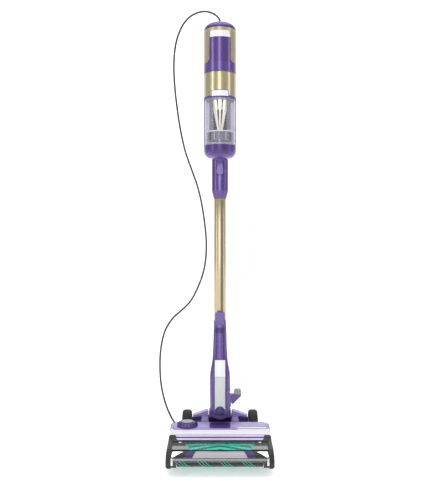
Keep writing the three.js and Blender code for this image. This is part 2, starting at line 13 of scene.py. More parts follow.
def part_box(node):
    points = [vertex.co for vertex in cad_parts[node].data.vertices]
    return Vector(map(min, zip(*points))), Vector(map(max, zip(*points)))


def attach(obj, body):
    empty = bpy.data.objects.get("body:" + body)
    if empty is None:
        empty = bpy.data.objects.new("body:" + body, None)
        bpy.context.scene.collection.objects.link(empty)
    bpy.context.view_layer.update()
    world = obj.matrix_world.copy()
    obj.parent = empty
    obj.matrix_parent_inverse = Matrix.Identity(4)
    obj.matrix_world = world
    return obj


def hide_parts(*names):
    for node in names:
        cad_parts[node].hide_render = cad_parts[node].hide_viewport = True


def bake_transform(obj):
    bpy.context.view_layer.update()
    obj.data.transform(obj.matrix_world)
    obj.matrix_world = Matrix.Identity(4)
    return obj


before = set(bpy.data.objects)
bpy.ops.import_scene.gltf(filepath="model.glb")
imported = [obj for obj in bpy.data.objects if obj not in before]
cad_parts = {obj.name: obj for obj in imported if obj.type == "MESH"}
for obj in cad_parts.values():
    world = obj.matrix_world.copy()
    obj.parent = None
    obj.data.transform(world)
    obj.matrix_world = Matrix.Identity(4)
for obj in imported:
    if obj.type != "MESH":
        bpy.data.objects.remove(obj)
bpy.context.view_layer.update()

MM = 0.001
RIGHT_LEFT = ((1, "right"), (-1, "left"))
LEFT_RIGHT = RIGHT_LEFT[::-1]


def span(node):
    """The lowest and highest corners of a CAD node, in millimetres."""
    low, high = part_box(node)
    return low / MM, high / MM


# ---- Places and sizes read from the frame -------------------------------------------------------
BAND_LOW, BAND_HIGH = span("gold_band")
WAND_LOW, WAND_HIGH = span("wand_tube")
CUP_LOW, CUP_HIGH = span("dust_cup")
SOCKET_LOW, SOCKET_HIGH = span("wand_connector")
WHEEL_LOW, WHEEL_HIGH = span("right_wheel")
BRUSH_LOW, BRUSH_HIGH = span("brush_roll")
ROLLER_LOW, ROLLER_HIGH = span("front_roller")
COIL_LOW, COIL_HIGH = span("cord_coil")
PLUG_LOW, PLUG_HIGH = span("plug")
GLAND_LOW, GLAND_HIGH = span("cord_gland")
COVER_HIGH = span("top_cover")[1]
HOUSING_Z = span("motor_housing")[0].z  # the lowest point of the motor housing
LID_Z = span("cup_lid")[0].z  # the lowest point of the cup's lid
CAP_TOP = span("top_cap")[1].z

AXIS_Y = (WAND_LOW.y + WAND_HIGH.y) / 2  # the wand's axis
BARREL_Y = (BAND_LOW.y + BAND_HIGH.y) / 2  # the handset barrel's axis
BARREL_R = (BAND_HIGH.x - BAND_LOW.x) / 2
COVER_HALF = COVER_HIGH.x
CORD_D = 5.5  # the mains lead's diameter

# ---- Materials ----------------------------------------------------------------------------------
EDGE_START, EDGE_FULL = 0.53, 0.62  # how pointed an edge is where wear starts, and where it is full
BUMP_REACH = 0.0006
BROAD_GRAIN = 0.06  # the large noise's scale against the small one's


def linear(hex_colour):
    """A web colour as linear RGBA."""
    parts = [int(hex_colour[i : i + 2], 16) / 255 for i in (0, 2, 4)]
    return [c / 12.92 if c <= 0.04045 else ((c + 0.055) / 1.055) ** 2.4 for c in parts] + [1.0]


def noise(tree, vector, scale, detail):
    """A noise texture's value."""
    node = tree.nodes.new("ShaderNodeTexNoise")
    node.inputs["Scale"].default_value = scale
    node.inputs["Detail"].default_value = detail
    tree.links.new(vector, node.inputs["Vector"])
    return node.outputs["Fac"]


def ranged(tree, value, low, high, start=0.0, stop=1.0):
    """A shader value carried from start..stop to low..high."""
    node = tree.nodes.new("ShaderNodeMapRange")
    for name, number in (("From Min", start), ("From Max", stop), ("To Min", low), ("To Max", high)):
        node.inputs[name].default_value = number
    tree.links.new(value, node.inputs["Value"])
    return node.outputs["Result"]


def worn(tree, colour, base, wear):
    """A colour that turns lighter on the piece's outward edges."""
    geometry = tree.nodes.new("ShaderNodeNewGeometry")
    amount = ranged(tree, geometry.outputs["Pointiness"], 0.0, wear, EDGE_START, EDGE_FULL)
    mix = tree.nodes.new("ShaderNodeMix")
    mix.data_type = "RGBA"
    tree.links.new(amount, mix.inputs["Factor"])
    tree.links.new(colour, mix.inputs[6])
    mix.inputs[7].default_value = [min(1.0, c * 1.6 + 0.05) for c in base[:3]] + [1.0]
    return mix.outputs[2]


def surface(
    name, colour, rough, metal=0.0, coat=0.0, grain=300.0, stretch=(1, 1, 1), mottle=0.06,
    rough_spread=0.08, bump=0.02, wear=0.0, alpha=1.0, sheen=0.0, glow=0.0,
):
    """A Principled material whose colour, roughness and bump vary with two scales of noise in the
    piece's own space, with lighter worn edges where wear is above 0."""
    made = bpy.data.materials.new(name)
    made.use_nodes = True
    tree = made.node_tree
    shader = tree.nodes["Principled BSDF"]
    base = linear(colour)
    mapping = tree.nodes.new("ShaderNodeMapping")
    mapping.inputs["Scale"].default_value = stretch
    tree.links.new(tree.nodes.new("ShaderNodeTexCoord").outputs["Object"], mapping.inputs["Vector"])
    place = mapping.outputs["Vector"]
    broad, fine = noise(tree, place, grain * BROAD_GRAIN, 3.0), noise(tree, place, grain, 4.0)
    tint = tree.nodes.new("ShaderNodeVectorMath")
    tint.operation = "SCALE"
    tint.inputs[0].default_value = base[:3]
    tree.links.new(ranged(tree, broad, 1 - mottle, 1 + mottle), tint.inputs["Scale"])
    shade = tint.outputs["Vector"]
    if wear:
        shade = worn(tree, shade, base, wear)
    tree.links.new(shade, shader.inputs["Base Color"])
    gloss = ranged(tree, fine, max(0.02, rough - rough_spread), rough + rough_spread)
    tree.links.new(gloss, shader.inputs["Roughness"])
    if bump:
        lumps = tree.nodes.new("ShaderNodeBump")
        lumps.inputs["Strength"].default_value = bump
        lumps.inputs["Distance"].default_value = BUMP_REACH
        tree.links.new(fine, lumps.inputs["Height"])
        tree.links.new(lumps.outputs["Normal"], shader.inputs["Normal"])
    shader.inputs["Metallic"].default_value = metal
    shader.inputs["Coat Weight"].default_value = coat
    shader.inputs["Coat Roughness"].default_value = 0.08
    shader.inputs["Alpha"].default_value = alpha
    shader.inputs["Sheen Weight"].default_value = sheen
    # A glow in the material's own colour: lamp light on the lamp lens, painted light on the other
    # materials that have one.
    if glow:
        shader.inputs["Emission Color"].default_value = base
        shader.inputs["Emission Strength"].default_value = glow
    return made


PURPLE = surface("metallic_purple", "5c4785", 0.28, metal=0.5, coat=0.3, grain=900, mottle=0.05, wear=0.25)
DEEP_PURPLE = surface("deep_purple", "3a2860", 0.36, metal=0.3, coat=0.1, grain=700, wear=0.2)
MID_PURPLE = surface("mid_purple", "584085", 0.38, metal=0.3, coat=0.1, grain=700)
# A darker purple: painted shade in the recess of the lid's stepped plate.
LID_PAINTED_SHADE = surface("lid_painted_shade", "493570", 0.38, metal=0.3, coat=0.1, grain=700)
LAVENDER = surface("lavender", "9585bb", 0.4, metal=0.2, coat=0.1, grain=700, wear=0.2)
LILAC = surface("lilac_bezel", "c0b1d8", 0.35, metal=0.25, coat=0.1, grain=700)
GOLD = surface(
    "brushed_gold", "bcb08e", 0.28, metal=0.7, grain=260, stretch=(1, 1, 0.03), mottle=0.05, bump=0.05
)
GOLD_PLASTIC = surface("gold_plastic", "b9ad8c", 0.36, metal=0.55, coat=0.2, grain=800)
DARK_GOLD = surface("dark_gold", "6a6150", 0.4, metal=0.5, grain=500)
GRILLE = surface("gold_grille", "bdb293", 0.42, metal=0.55, grain=600, wear=0.3)
SILVER = surface("silver_plastic", "a9a8ad", 0.4, metal=0.2, coat=0.1, grain=700)
WHITE = surface("white_plastic", "e6e4ea", 0.38, coat=0.2, grain=500, mottle=0.02)
PALE = surface("pale_grey", "c6cbc6", 0.4, grain=500, mottle=0.03)
BLACK = surface("black_plastic", "19191b", 0.45, grain=500, bump=0.08, wear=0.12)
GREY = surface("grey_plastic", "8d9490", 0.45, grain=500, bump=0.06)
RUBBER = surface("rubber", "1c1c1e", 0.7, grain=800, bump=0.15, rough_spread=0.12)
JACKET = surface("cord_jacket", "3a3a3c", 0.5, grain=1200, bump=0.08)
# The bristles glow faintly: painted light that brightens the roll and its hood under the window.
TEAL = surface(
    "teal_bristle", "2cc4ae", 0.5, grain=1500, stretch=(0.2, 1, 1), bump=0.25, mottle=0.1, glow=0.24
)
DARK_TEAL = surface("dark_teal_fin", "0c5c52", 0.5, grain=1200, bump=0.2, mottle=0.15)
PILE = surface("roller_pile", "101113", 0.85, grain=2200, bump=0.7, mottle=0.3, sheen=0.4)
PILE_TEAL = surface("roller_pile_teal", "2db894", 0.8, grain=2200, bump=0.7, mottle=0.3, sheen=0.4)
CLEAR = surface(
    "clear_cup", "b9b4c8", 0.1, grain=40, mottle=0.02, rough_spread=0.02, bump=0.0, alpha=0.14, coat=0.5
)
# A pale, half-clear sheet that glows: painted light for the brightness seen through the cup's clear sides.
CUP_PAINTED_LIGHT = surface("cup_painted_light", "dcd8e6", 0.3, grain=60, alpha=0.8, bump=0.0, coat=0.3, glow=0.35)
SHROUD = surface("shroud_grey", "85858c", 0.3, metal=0.45, grain=300, bump=0.0, coat=0.3)
VISOR = surface("clear_visor", "8f9297", 0.2, grain=60, alpha=0.22, bump=0.0)
PANE = surface("window_pane", "8fe0d4", 0.12, grain=60, alpha=0.1, bump=0.0)
LAMP = surface("lamp_lens", "ffffff", 0.1, grain=60, bump=0.0, glow=1.4)
# Pale cone plastic with a strong glow: painted light that makes the cones bright.
CONE_PAINTED_GLOW = surface("bright_cone", "efecd9", 0.2, metal=0.35, coat=0.5, grain=400, glow=0.55)
STEEL = surface("turned_steel", "b4b6ba", 0.3, metal=1.0, grain=500, stretch=(0.05, 1, 1), bump=0.05)
FOAM = surface("foam", "3a3a44", 0.95, grain=1600, bump=0.9, mottle=0.3)
PAPER = surface("filter_paper", "e4e4e2", 0.85, grain=900, stretch=(1, 1, 0.05), bump=0.4)
# Near-black painted shade for unlit insides: the core behind the grilles, the cyclone's hollow and core,
# screen gaps.
PAINTED_SHADE = surface("painted_shade_dark", "151417", 0.6, grain=400)

# ---- Mesh making --------------------------------------------------------------------------------


def raw(name, verts, faces):
    """A mesh object from points in millimetres, with its faces turned outwards."""
    mesh = bpy.data.meshes.new(name)
    mesh.from_pydata([tuple(c * MM for c in v) for v in verts], [], faces)
    made = bmesh.new()
    made.from_mesh(mesh)
    bmesh.ops.remove_doubles(made, verts=made.verts, dist=1e-7)
    bmesh.ops.recalc_face_normals(made, faces=made.faces)
    made.to_mesh(mesh)
    made.free()
    obj = bpy.data.objects.new(name, mesh)
    bpy.context.scene.collection.objects.link(obj)
    return obj


def carve(target, *shapes):
    """Cuts shapes out of target."""
    for shape in shapes:
        cutter = raw("cutter", *shape)
        change = target.modifiers.new("carve", "BOOLEAN")
        change.operation = "DIFFERENCE"
        change.object = cutter
        change.solver = "EXACT"
        seen = target.evaluated_get(bpy.context.evaluated_depsgraph_get())
        mesh = bpy.data.meshes.new_from_object(seen)
        target.modifiers.clear()
        target.data = mesh
        bpy.data.objects.remove(cutter)


def soften(obj, width, angle, steps):
    """Rounds the edges sharper than an angle in degrees."""
    rounding = obj.modifiers.new("bevel", "BEVEL")
    rounding.width = width * MM
    rounding.segments = steps
    rounding.limit_method = "ANGLE"
    rounding.angle_limit = math.radians(angle)
    rounding.harden_normals = True


def coat(obj, material, bevel, sharp, steps):
    """Gives a mesh its material, smooth shading, and soft or sharp edges."""
    obj.data.materials.clear()
    obj.data.materials.append(material)
    for polygon in obj.data.polygons:
        polygon.use_smooth = True
    if bevel:
        soften(obj, bevel, sharp, steps)
    else:
        obj.data.set_sharp_from_angle(angle=math.radians(sharp))


def dress(obj, material, body, replaces=(), slot=None, bevel=0.0, sharp=32.0, steps=3):
    """Finishes a piece: its look, its body and the CAD nodes that it stands for; its slot is not used."""
    coat(obj, material, bevel, sharp, steps)
    if body:
        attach(obj, body)
    if replaces:
        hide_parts(*replaces)
    return obj


def part(name, shape, material, body, **dressing):
    """A finished piece straight from a shape."""
    return dress(raw(name, *shape), material, body, **dressing)


def up(name, shape, material, **dressing):
    """A piece that rides the upright."""
    return part(name, shape, material, "upright", **dressing)


def on_head(name, shape, material, **dressing):
    """A piece that rides the floor head."""
    return part(name, shape, material, "floor_head", **dressing)


def loft(rings, closed=False):
    """Side faces between rings of equal length, capped, or with the last ring joined to the first
    where closed."""
    count = len(rings[0])
    verts = [p for ring in rings for p in ring]
    faces = []
    pairs = len(rings) if closed else len(rings) - 1
    for i in range(pairs):
        a, b = i * count, ((i + 1) % len(rings)) * count
        for j in range(count):
            k = (j + 1) % count
            faces.append((a + j, a + k, b + k, b + j))
    if not closed:
        faces.append(tuple(range(count))[::-1])
        faces.append(tuple(range((len(rings) - 1) * count, len(rings) * count)))
    return verts, faces


def oval(cx, cy, z, rx, ry, power=2.0, count=72):
    """A superellipse ring at height z; power 2 is an ellipse and a higher one is squarer."""
    ring = []
    for i in range(count):
        a = 2 * math.pi * i / count
        c, s = math.cos(a), math.sin(a)
        x = math.copysign(abs(c) ** (2 / power), c) * rx
        y = math.copysign(abs(s) ** (2 / power), s) * ry
        ring.append((cx + x, cy + y, z))
    return ring


def revolve(profile, cx, cy, closed=False, count=96):
    """A turned shape about the vertical through (cx, cy) from (radius, z) points."""
    rings = [oval(cx, cy, z, max(r, 0.02), max(r, 0.02), count=count) for r, z in profile]
    return loft(rings, closed=closed)


def on_barrel(profile, closed=False, count=96):
    """A turned shape about the barrel's axis."""
    return revolve(profile, 0, BARREL_Y, closed, count)


def moved(shape, place, turn=Matrix.Identity(3)):
    """A shape turned about the origin, then carried to a place."""
    verts, faces = shape
    return [tuple(turn @ Vector(v) + Vector(place)) for v in verts], faces


def lathe(profile, axis, centre, closed=False, count=64):
    """A turned shape from (radius, distance along axis) points, about a line through centre."""
    verts, faces = revolve(profile, 0, 0, closed, count)
    laid = [(z, y, x) if axis == "x" else (x, z, y) for x, y, z in verts]
    return moved((laid, faces), centre)


def rounded(points, radius, steps=6):
    """An outline with each corner turned into an arc-like curve."""
    out = []
    for i, corner in enumerate(points):
        here = Vector(corner)
        before, after = Vector(points[i - 1]), Vector(points[(i + 1) % len(points)])
        reach = [min(radius, (other - here).length * 0.48) for other in (before, after)]
        start = here + (before - here).normalized() * reach[0]
        end = here + (after - here).normalized() * reach[1]
        for k in range(steps + 1):
            t = k / steps
            out.append(tuple(start * (1 - t) ** 2 + here * 2 * t * (1 - t) + end * t * t))
    return out


def slab(outline, plane, low, high):
    """An outline pushed along the axis that its plane leaves out, from low to high."""
    place = {
        "yz": lambda a, b, c: (c, a, b),
        "xz": lambda a, b, c: (a, c, b),
        "xy": lambda a, b, c: (a, b, c),
    }[plane]
    return loft([[place(a, b, c) for a, b in outline] for c in (low, high)])


def side_slab(outline, side, near, far):
    """A y and z outline pushed across x between two distances on one side of the middle."""
    return slab(outline, "yz", *sorted((side * near, side * far)))


def wrap(rows, thick, columns=28):
    """A curved plate on the barrel: rows of (z, from angle, to angle, radius), the angles in
    radians from the front."""
    rings = []
    for z, start, end, radius in rows:
        outer, inner = [], []
        for i in range(columns + 1):
            a = start + (end - start) * i / columns
            for ring, r in ((outer, radius), (inner, radius - thick)):
                ring.append((math.sin(a) * r, BARREL_Y - math.cos(a) * r, z))
        rings.append(outer + inner[::-1])
    return loft(rings)


def band(z0, z1, half, radius):
    """Two rows for wrap: a plain plate half an angle to each side of the front."""
    return [(z, -half, half, radius) for z in (z0, z1)]


def behind(z0, z1, start, radius):
    """Two rows for wrap: a plate round the back, open in front between -start and start."""
    return [(z, start, 2 * math.pi - start, radius) for z in (z0, z1)]


def label_rows(z0, z1, half, radius, corner, steps=5):
    """Rows for a label plate with its two top corners rounded."""
    rows = [(z0, -half, half, radius)]
    for i in range(steps, -1, -1):
        a = math.pi / 2 * i / steps
        pull = corner / radius * (1 - math.sin(a))
        rows.append((z1 - corner * (1 - math.cos(a)), -half + pull, half - pull, radius))
    return rows


def sweep(path, section, closed=False):
    """A section carried along a path in a plane of constant x: path points are (y, z), and the
    section's points are (across the path, along x)."""
    rings = []
    count = len(path)
    for i in range(count):
        before = Vector(path[i - 1] if closed or i else path[i])
        after = Vector(path[(i + 1) % count] if closed or i < count - 1 else path[i])
        along = (after - before).normalized()
        across = Vector((-along.y, along.x))
        here = Vector(path[i])
        spots = [(x, here + across * u) for u, x in section(i / count)]
        rings.append([(x, spot.x, spot.y) for x, spot in spots])
    return loft(rings, closed=closed)


def spline(points, per=8, closed=False):
    """Points along a centripetal Catmull-Rom curve through the given ones."""
    pts = [Vector(p) for p in points]
    if closed:
        pts = [pts[-1], *pts, pts[0], pts[1]]
    else:
        pts = [pts[0] * 2 - pts[1], *pts, pts[-1] * 2 - pts[-2]]
    out = []
    for p0, p1, p2, p3 in zip(pts, pts[1:], pts[2:], pts[3:]):
        t0 = 0.0
        t1 = t0 + max((p1 - p0).length, 1e-6) ** 0.5
        t2 = t1 + max((p2 - p1).length, 1e-6) ** 0.5
        t3 = t2 + max((p3 - p2).length, 1e-6) ** 0.5
        for k in range(per):
            t = t1 + (t2 - t1) * k / per
            a1 = p0 * ((t1 - t) / (t1 - t0)) + p1 * ((t - t0) / (t1 - t0))
            a2 = p1 * ((t2 - t) / (t2 - t1)) + p2 * ((t - t1) / (t2 - t1))
            a3 = p2 * ((t3 - t) / (t3 - t2)) + p3 * ((t - t2) / (t3 - t2))
            b1 = a1 * ((t2 - t) / (t2 - t0)) + a2 * ((t - t0) / (t2 - t0))
            b2 = a2 * ((t3 - t) / (t3 - t1)) + a3 * ((t - t1) / (t3 - t1))
            out.append(b1 * ((t2 - t) / (t2 - t1)) + b2 * ((t - t1) / (t2 - t1)))
    if not closed:
        out.append(pts[-2].copy())
    return out


def flat_spline(points, per, closed=False):
    """The same curve through points that have only two coordinates."""
    return [(p.x, p.y) for p in spline([(a, b, 0) for a, b in points], per, closed)]


def tube(path, radius, sides=12):
    """A round tube along 3-D points, its section carried without twist."""
    rings = []
    normal = (path[1] - path[0]).normalized().orthogonal().normalized()
    for i, here in enumerate(path):
        along = (path[min(i + 1, len(path) - 1)] - path[max(i - 1, 0)]).normalized()
        normal = (normal - along * normal.dot(along)).normalized()
        other = along.cross(normal)
        turns = [2 * math.pi * k / sides for k in range(sides)]
        rings.append([tuple(here + (normal * math.cos(a) + other * math.sin(a)) * radius) for a in turns])
    return loft(rings)


# ---- Mains lead ---------------------------------------------------------------------------------
ROUTE = [  # from the gland, over its loop and down past the neck to the floor
    (0, 117, 1165.3), (0, 117, 1178), (-9, 117, 1192), (-26, 117, 1202), (-47, 117, 1205),
    (-76, 117, 1196), (-100, 117, 1174), (-117, 117, 1140), (-126, 117, 1105), (-130, 117, 1050),
    (-127, 117, 990), (-121, 117, 935), (-113, 117, 881), (-98, 117, 812), (-80, 117, 760),
    (-62, 117, 708), (-47, 117, 636), (-38.5, 117, 548), (-44, 117, 484), (-61, 117, 431),
    (-84, 117, 388), (-110, 117, 362), (-134, 118, 340), (-155, 120, 305), (-167, 123, 255),
    (-170, 127, 200), (-166, 132, 145), (-154, 139, 92), (-136, 148, 48), (-115, 158, 18),
    (-96, 168, 5), (-80, 176, 3.1), (-66, 185, 3.1),
]
ROUTE_STEPS = 8  # curve points from one of the route's points to the next
SEAM_AFTER = 21  # the route's point where the hanging stretch hands over to the lower one
COIL_COLUMNS = 5
COIL_LAYERS = 5
TURN_POINTS = 28
SHIFT_FROM = 0.8  # the share of a turn after which the lead moves over to the next column
COIL_MIDDLE = (COIL_LOW + COIL_HIGH) / 2
PLUG_Y = (PLUG_LOW.y + PLUG_HIGH.y) / 2


def coil_path():
    """The wound part: each layer winds from one side of the ring to the other, clockwise."""
    mean = ((COIL_HIGH.x - COIL_LOW.x) / 2) - COIL_COLUMNS * CORD_D / 2 - 0.4
    outer = mean + (COIL_COLUMNS - 1) * CORD_D / 2
    out = []
    for i in range(COIL_COLUMNS * COIL_LAYERS * TURN_POINTS + 1):
        turn, share = divmod(i / TURN_POINTS, 1)
        layer, column = divmod(int(turn), COIL_COLUMNS)
        step = 0.5 - 0.5 * math.cos(math.pi * max(0.0, (share - SHIFT_FROM) / (1 - SHIFT_FROM)))
        last = column == COIL_COLUMNS - 1
        place = column + (0 if last else step)
        lift = layer + (step if last and layer < COIL_LAYERS - 1 else 0)
        radius = outer - CORD_D * (COIL_COLUMNS - 1 - place if layer % 2 else place)
        angle = math.pi - 2 * math.pi * share
        x, y = COIL_MIDDLE.x + radius * math.cos(angle), COIL_MIDDLE.y + radius * math.sin(angle)
        out.append(Vector((x, y, CORD_D / 2 + 0.2 + lift * CORD_D)))
    return out


def lead_paths():
    """The lead's two stretches: over the handset to the neck, then by way of the coil to the plug."""
    whole = spline(ROUTE, per=ROUTE_STEPS)
    seam = SEAM_AFTER * ROUTE_STEPS
    wound = coil_path()
    start = wound[-1]
    rise = [(-1, 10, 3), (0, 21, 6.5), (5, 31, 9.5)]
    tail = [start, *[(start.x + x, COIL_MIDDLE.y + y, start.z + z) for x, y, z in rise]]
    tail.append((PLUG_LOW.x + 1, PLUG_Y - 4, start.z + 12))
    entry = spline([whole[-1], wound[0] + Vector((-0.3, -2, 0)), wound[1]], per=4)[1:-1]
    return whole[: seam + 1], [*whole[seam:], *entry, *wound[2:], *spline(tail, per=6)[1:]]


def strain_relief():
    """The ribbed sleeve where the lead leaves the handset."""
    low, ribs = GLAND_LOW.z, 7
    profile = [(0, low), (9, low), (9, low + 4), (7, low + 6)]
    for k in range(ribs):
        r = 6.6 - 2.2 * k / ribs - (0.7 if k % 2 else 0)
        profile += [(r, low + 8 + k * 3.6), (r, low + 9.8 + k * 3.6)]
    profile += [(4.2, GLAND_HIGH.z), (0, GLAND_HIGH.z)]
    shape = revolve(profile, 0, (GLAND_LOW.y + GLAND_HIGH.y) / 2, count=40)
    return up("strain_relief", shape, RUBBER, replaces=["cord_gland"])


def mains_plug():
    """The plug and its two flat blades, lying on the coil."""
    low = PLUG_LOW.x
    body = rounded([(low, 30), (8, 28.4), (26, 28.4), (26, 48), (8, 47.5), (low, 43)], 4)
    shape = slab(body, "xz", PLUG_Y - 11, PLUG_Y + 11)
    pieces = [on_head("mains_plug", shape, JACKET, replaces=["plug"], bevel=2.5)]
    blade = rounded([(24, 37), (43, 37), (43, 38.6), (24, 38.6)], 0.7, 3)
    for side in (-1, 1):
        y = PLUG_Y + side * 6.3
        shape = slab(blade, "xz", y - 3.1, y + 3.1)
        pieces.append(on_head(f"plug_blade_{side + 2}", shape, STEEL, bevel=0.3))
    return pieces


def coil_tie():
    """The strap round one side of the coil."""
    outer = [(31.2, -0.2), (57.8, -0.2), (57.8, 28.6), (31.2, 28.6)]
    inner = [(x + (1.2 if x < 44 else -1.2), z + (0.8 if z < 14 else -0.9)) for x, z in outer]
    y0, y1 = COIL_MIDDLE.y - 5, COIL_MIDDLE.y + 5
    outside, inside = rounded(outer, 5, 5), rounded(inner, 5, 5)
    rings = [[(x, y, max(z, 0.05)) for x, z in outside] for y in (y0, y1)]
    rings += [[(x, y, z) for x, z in inside] for y in (y1, y0)]
    on_head("coil_tie", loft(rings, closed=True), RUBBER)


def cords():
    """The mains lead: a stretch down to the neck, and one that ends in the coil and plug."""
    upper, lower = lead_paths()
    relief = strain_relief()
    made = raw("mains_lead_upper", *tube(upper, CORD_D / 2))
    dress(made, JACKET, None, replaces=["cord_upper"], sharp=60)
    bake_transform(made)
    pieces = mains_plug()
    made = raw("mains_lead_lower", *tube(lower, CORD_D / 2))
    dress(made, JACKET, None, replaces=["cord_lower", "cord_coil"], sharp=60)
    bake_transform(made)
    coil_tie()


# ---- Handset ------------------------------------------------------------------------------------
CAP_HEIGHT = 23
HOUSING_TOP = CAP_TOP - CAP_HEIGHT
GRILLE_LOW = span("front_panel")[0].z  # where the grilles and the front panel start
GRILLE_TOP = 1093.5
PANEL_TOP = 1076
RING_IN = 38  # the inner radius of the housing's rings
HOLE_SIDES = 8


def perforated(start, end, z0, z1, radius, thick, columns, rows):
    """A curved plate pierced by round holes, one in the middle of each cell."""
    verts, faces = [], []
    du, dz = (end - start) / columns, (z1 - z0) / rows
    hole = 0.31 * min(du * radius, dz)

    def put(points, r):
        """Adds points given as (angle, z) at a radius, and returns their numbers."""
        first = len(verts)
        verts.extend((math.sin(u) * r, BARREL_Y - math.cos(u) * r, z) for u, z in points)
        return range(first, len(verts))

    for i in range(columns):
        for j in range(rows):
            cu, cz = start + du * (i + 0.5), z0 + dz * (j + 0.5)
            edge, rim = [], []
            for k in range(HOLE_SIDES):
                c, s = math.cos(math.pi / 4 * k), math.sin(math.pi / 4 * k)
                grow = 0.5 / max(abs(c), abs(s))
                edge.append((cu + c * grow * du, cz + s * grow * dz))
                rim.append((cu + c * hole / radius, cz + s * hole))
            e0, h0 = put(edge, radius), put(rim, radius)
            h1, e1 = put(rim, radius - thick), put(edge, radius - thick)
            on_border = (i == columns - 1, j == rows - 1, i == 0, j == 0)
            for k in range(HOLE_SIDES):
                n = (k + 1) % HOLE_SIDES
                faces += [(a[k], a[n], b[n], b[k]) for a, b in ((e0, h0), (h0, h1), (h1, e1))]
                if on_border[((k + 1) // 2) % 4]:
                    faces.append((e1[k], e1[n], e0[n], e0[k]))
    return verts, faces


def housing():
    """The core in near-black painted shade, the purple band and front panel, the back wall and the pierced
    grilles.
    """
    r, low, top = BARREL_R, GRILLE_LOW, HOUSING_TOP
    core_z, core_r = 1013, 39.4
    core = on_barrel([(0, core_z), (core_r, core_z), (core_r, top), (0, top)])
    # The core is drawn near-black, not purple: painted shade seen through the grilles.
    up("housing_core", core, PAINTED_SHADE, replaces=["motor_housing"], slot="metallic_purple")
    ring = [(RING_IN, HOUSING_Z + 0.2), (r - 0.5, HOUSING_Z + 0.2), (r, HOUSING_Z + 0.9)]
    ring += [(r, low - 0.2), (RING_IN, low - 0.2)]
    up("purple_band", on_barrel(ring, closed=True), PURPLE)
    shoulder = [(0, 0.86), (1.5, 0.86), (3.5, 0.79), (6.5, 0.71), (10, 0.69)]
    rows = [(low + rise, -half, half, r) for rise, half in shoulder] + [(PANEL_TOP, -0.69, 0.69, r)]
    up("front_panel_skin", wrap(rows, 2.2), PURPLE, replaces=["front_panel"], bevel=0.35, steps=2)
    up("back_wall", wrap(behind(low, top, 2.06, r), 2.2, 48), PURPLE, bevel=0.4, steps=2)
    for side, name in RIGHT_LEFT:
        start, end = sorted((side * 0.72, side * 2.04))
        plate = perforated(start, end, low + 0.4, GRILLE_TOP, r - 0.35, 1.1, 13, 18)
        up(f"{name}_grille_skin", plate, GRILLE, replaces=[f"{name}_grille"], sharp=40)


def crown():
    """The gold plate and ring above the panel, the upper label and the domed cap."""
    r, top, ring_in, ring_z = BARREL_R, HOUSING_TOP, 39, GRILLE_TOP + 0.2
    up("crown_plate", wrap(band(PANEL_TOP + 0.4, top, 0.71, r - 0.1), 2), GOLD_PLASTIC)
    ring = [(ring_in, ring_z), (r - 0.1, ring_z), (r - 0.1, top - 0.8), (r - 0.8, top), (ring_in, top)]
    up("crown_ring", on_barrel(ring, closed=True), GOLD_PLASTIC)
    label = label_rows(PANEL_TOP + 0.8, GRILLE_TOP - 1, 0.62, r + 0.25, 5)
    up("upper_label", wrap(label, 0.5), WHITE, bevel=0.15, steps=2)
    dome = [(r - 1, 0.3), (r, 0.8), (r, 3), (40.6, 7.5), (36.5, 12.5), (29, 17.3), (17, 21.5)]
    dome += [(6, 22.8), (0, CAP_HEIGHT), (0, 0.3)]
    up("cap_dome", on_barrel([(q, top + h) for q, h in dome]), PURPLE, replaces=["top_cap"])


def gold_band():
    """The gold band with its ledge, and the lower label with its border."""
    r, low, high = BARREL_R, BAND_LOW.z, BAND_HIGH.z
    ring = [(RING_IN, low + 0.2), (r - 0.8, low + 0.2), (r - 0.1, low + 1), (r - 0.1, high - 1.6)]
    ring += [(r - 0.9, high - 0.9), (r - 0.9, high - 0.1), (RING_IN, high - 0.1)]
    up("band_skin", on_barrel(ring, closed=True), GOLD, replaces=["gold_band"])
    ledge = wrap(band(high - 8.5, high - 2, 0.3, r + 0.12), 0.6)
    up("band_ledge", ledge, GOLD, bevel=0.2, steps=2)
    border = label_rows(925.5, 941.8, 0.55, r + 0.35, 4.5)
    up("lower_label_border", wrap(border, 0.6), MID_PURPLE)
    label = label_rows(926.3, 940.5, 0.515, r + 0.6, 4)
    up("lower_label", wrap(label, 0.5), WHITE, bevel=0.15, steps=2)


DECK_Z = 921  # the underside of the plate that the cyclone's cones hang from
SHROUD_Z = 842  # the lowest point of the shroud
CONES = 8
SCREEN_RIBS = 14


def cup():
    """The clear cup and its purple rim."""
    r, low, high = BARREL_R, CUP_LOW.z, CUP_HIGH.z
    wall = [(r - 2, low), (r - 0.2, low), (r, low + 0.6), (r, high - 0.6), (r - 0.2, high), (r - 2, high)]
    up("cup_wall", on_barrel(wall, closed=True), CLEAR, replaces=["dust_cup"])
    rim = [(r - 2.6, high - 4), (r + 0.2, high - 4), (r + 0.2, high - 0.4), (r - 2.6, high - 0.4)]
    up("cup_rim", on_barrel(rim, closed=True), MID_PURPLE)


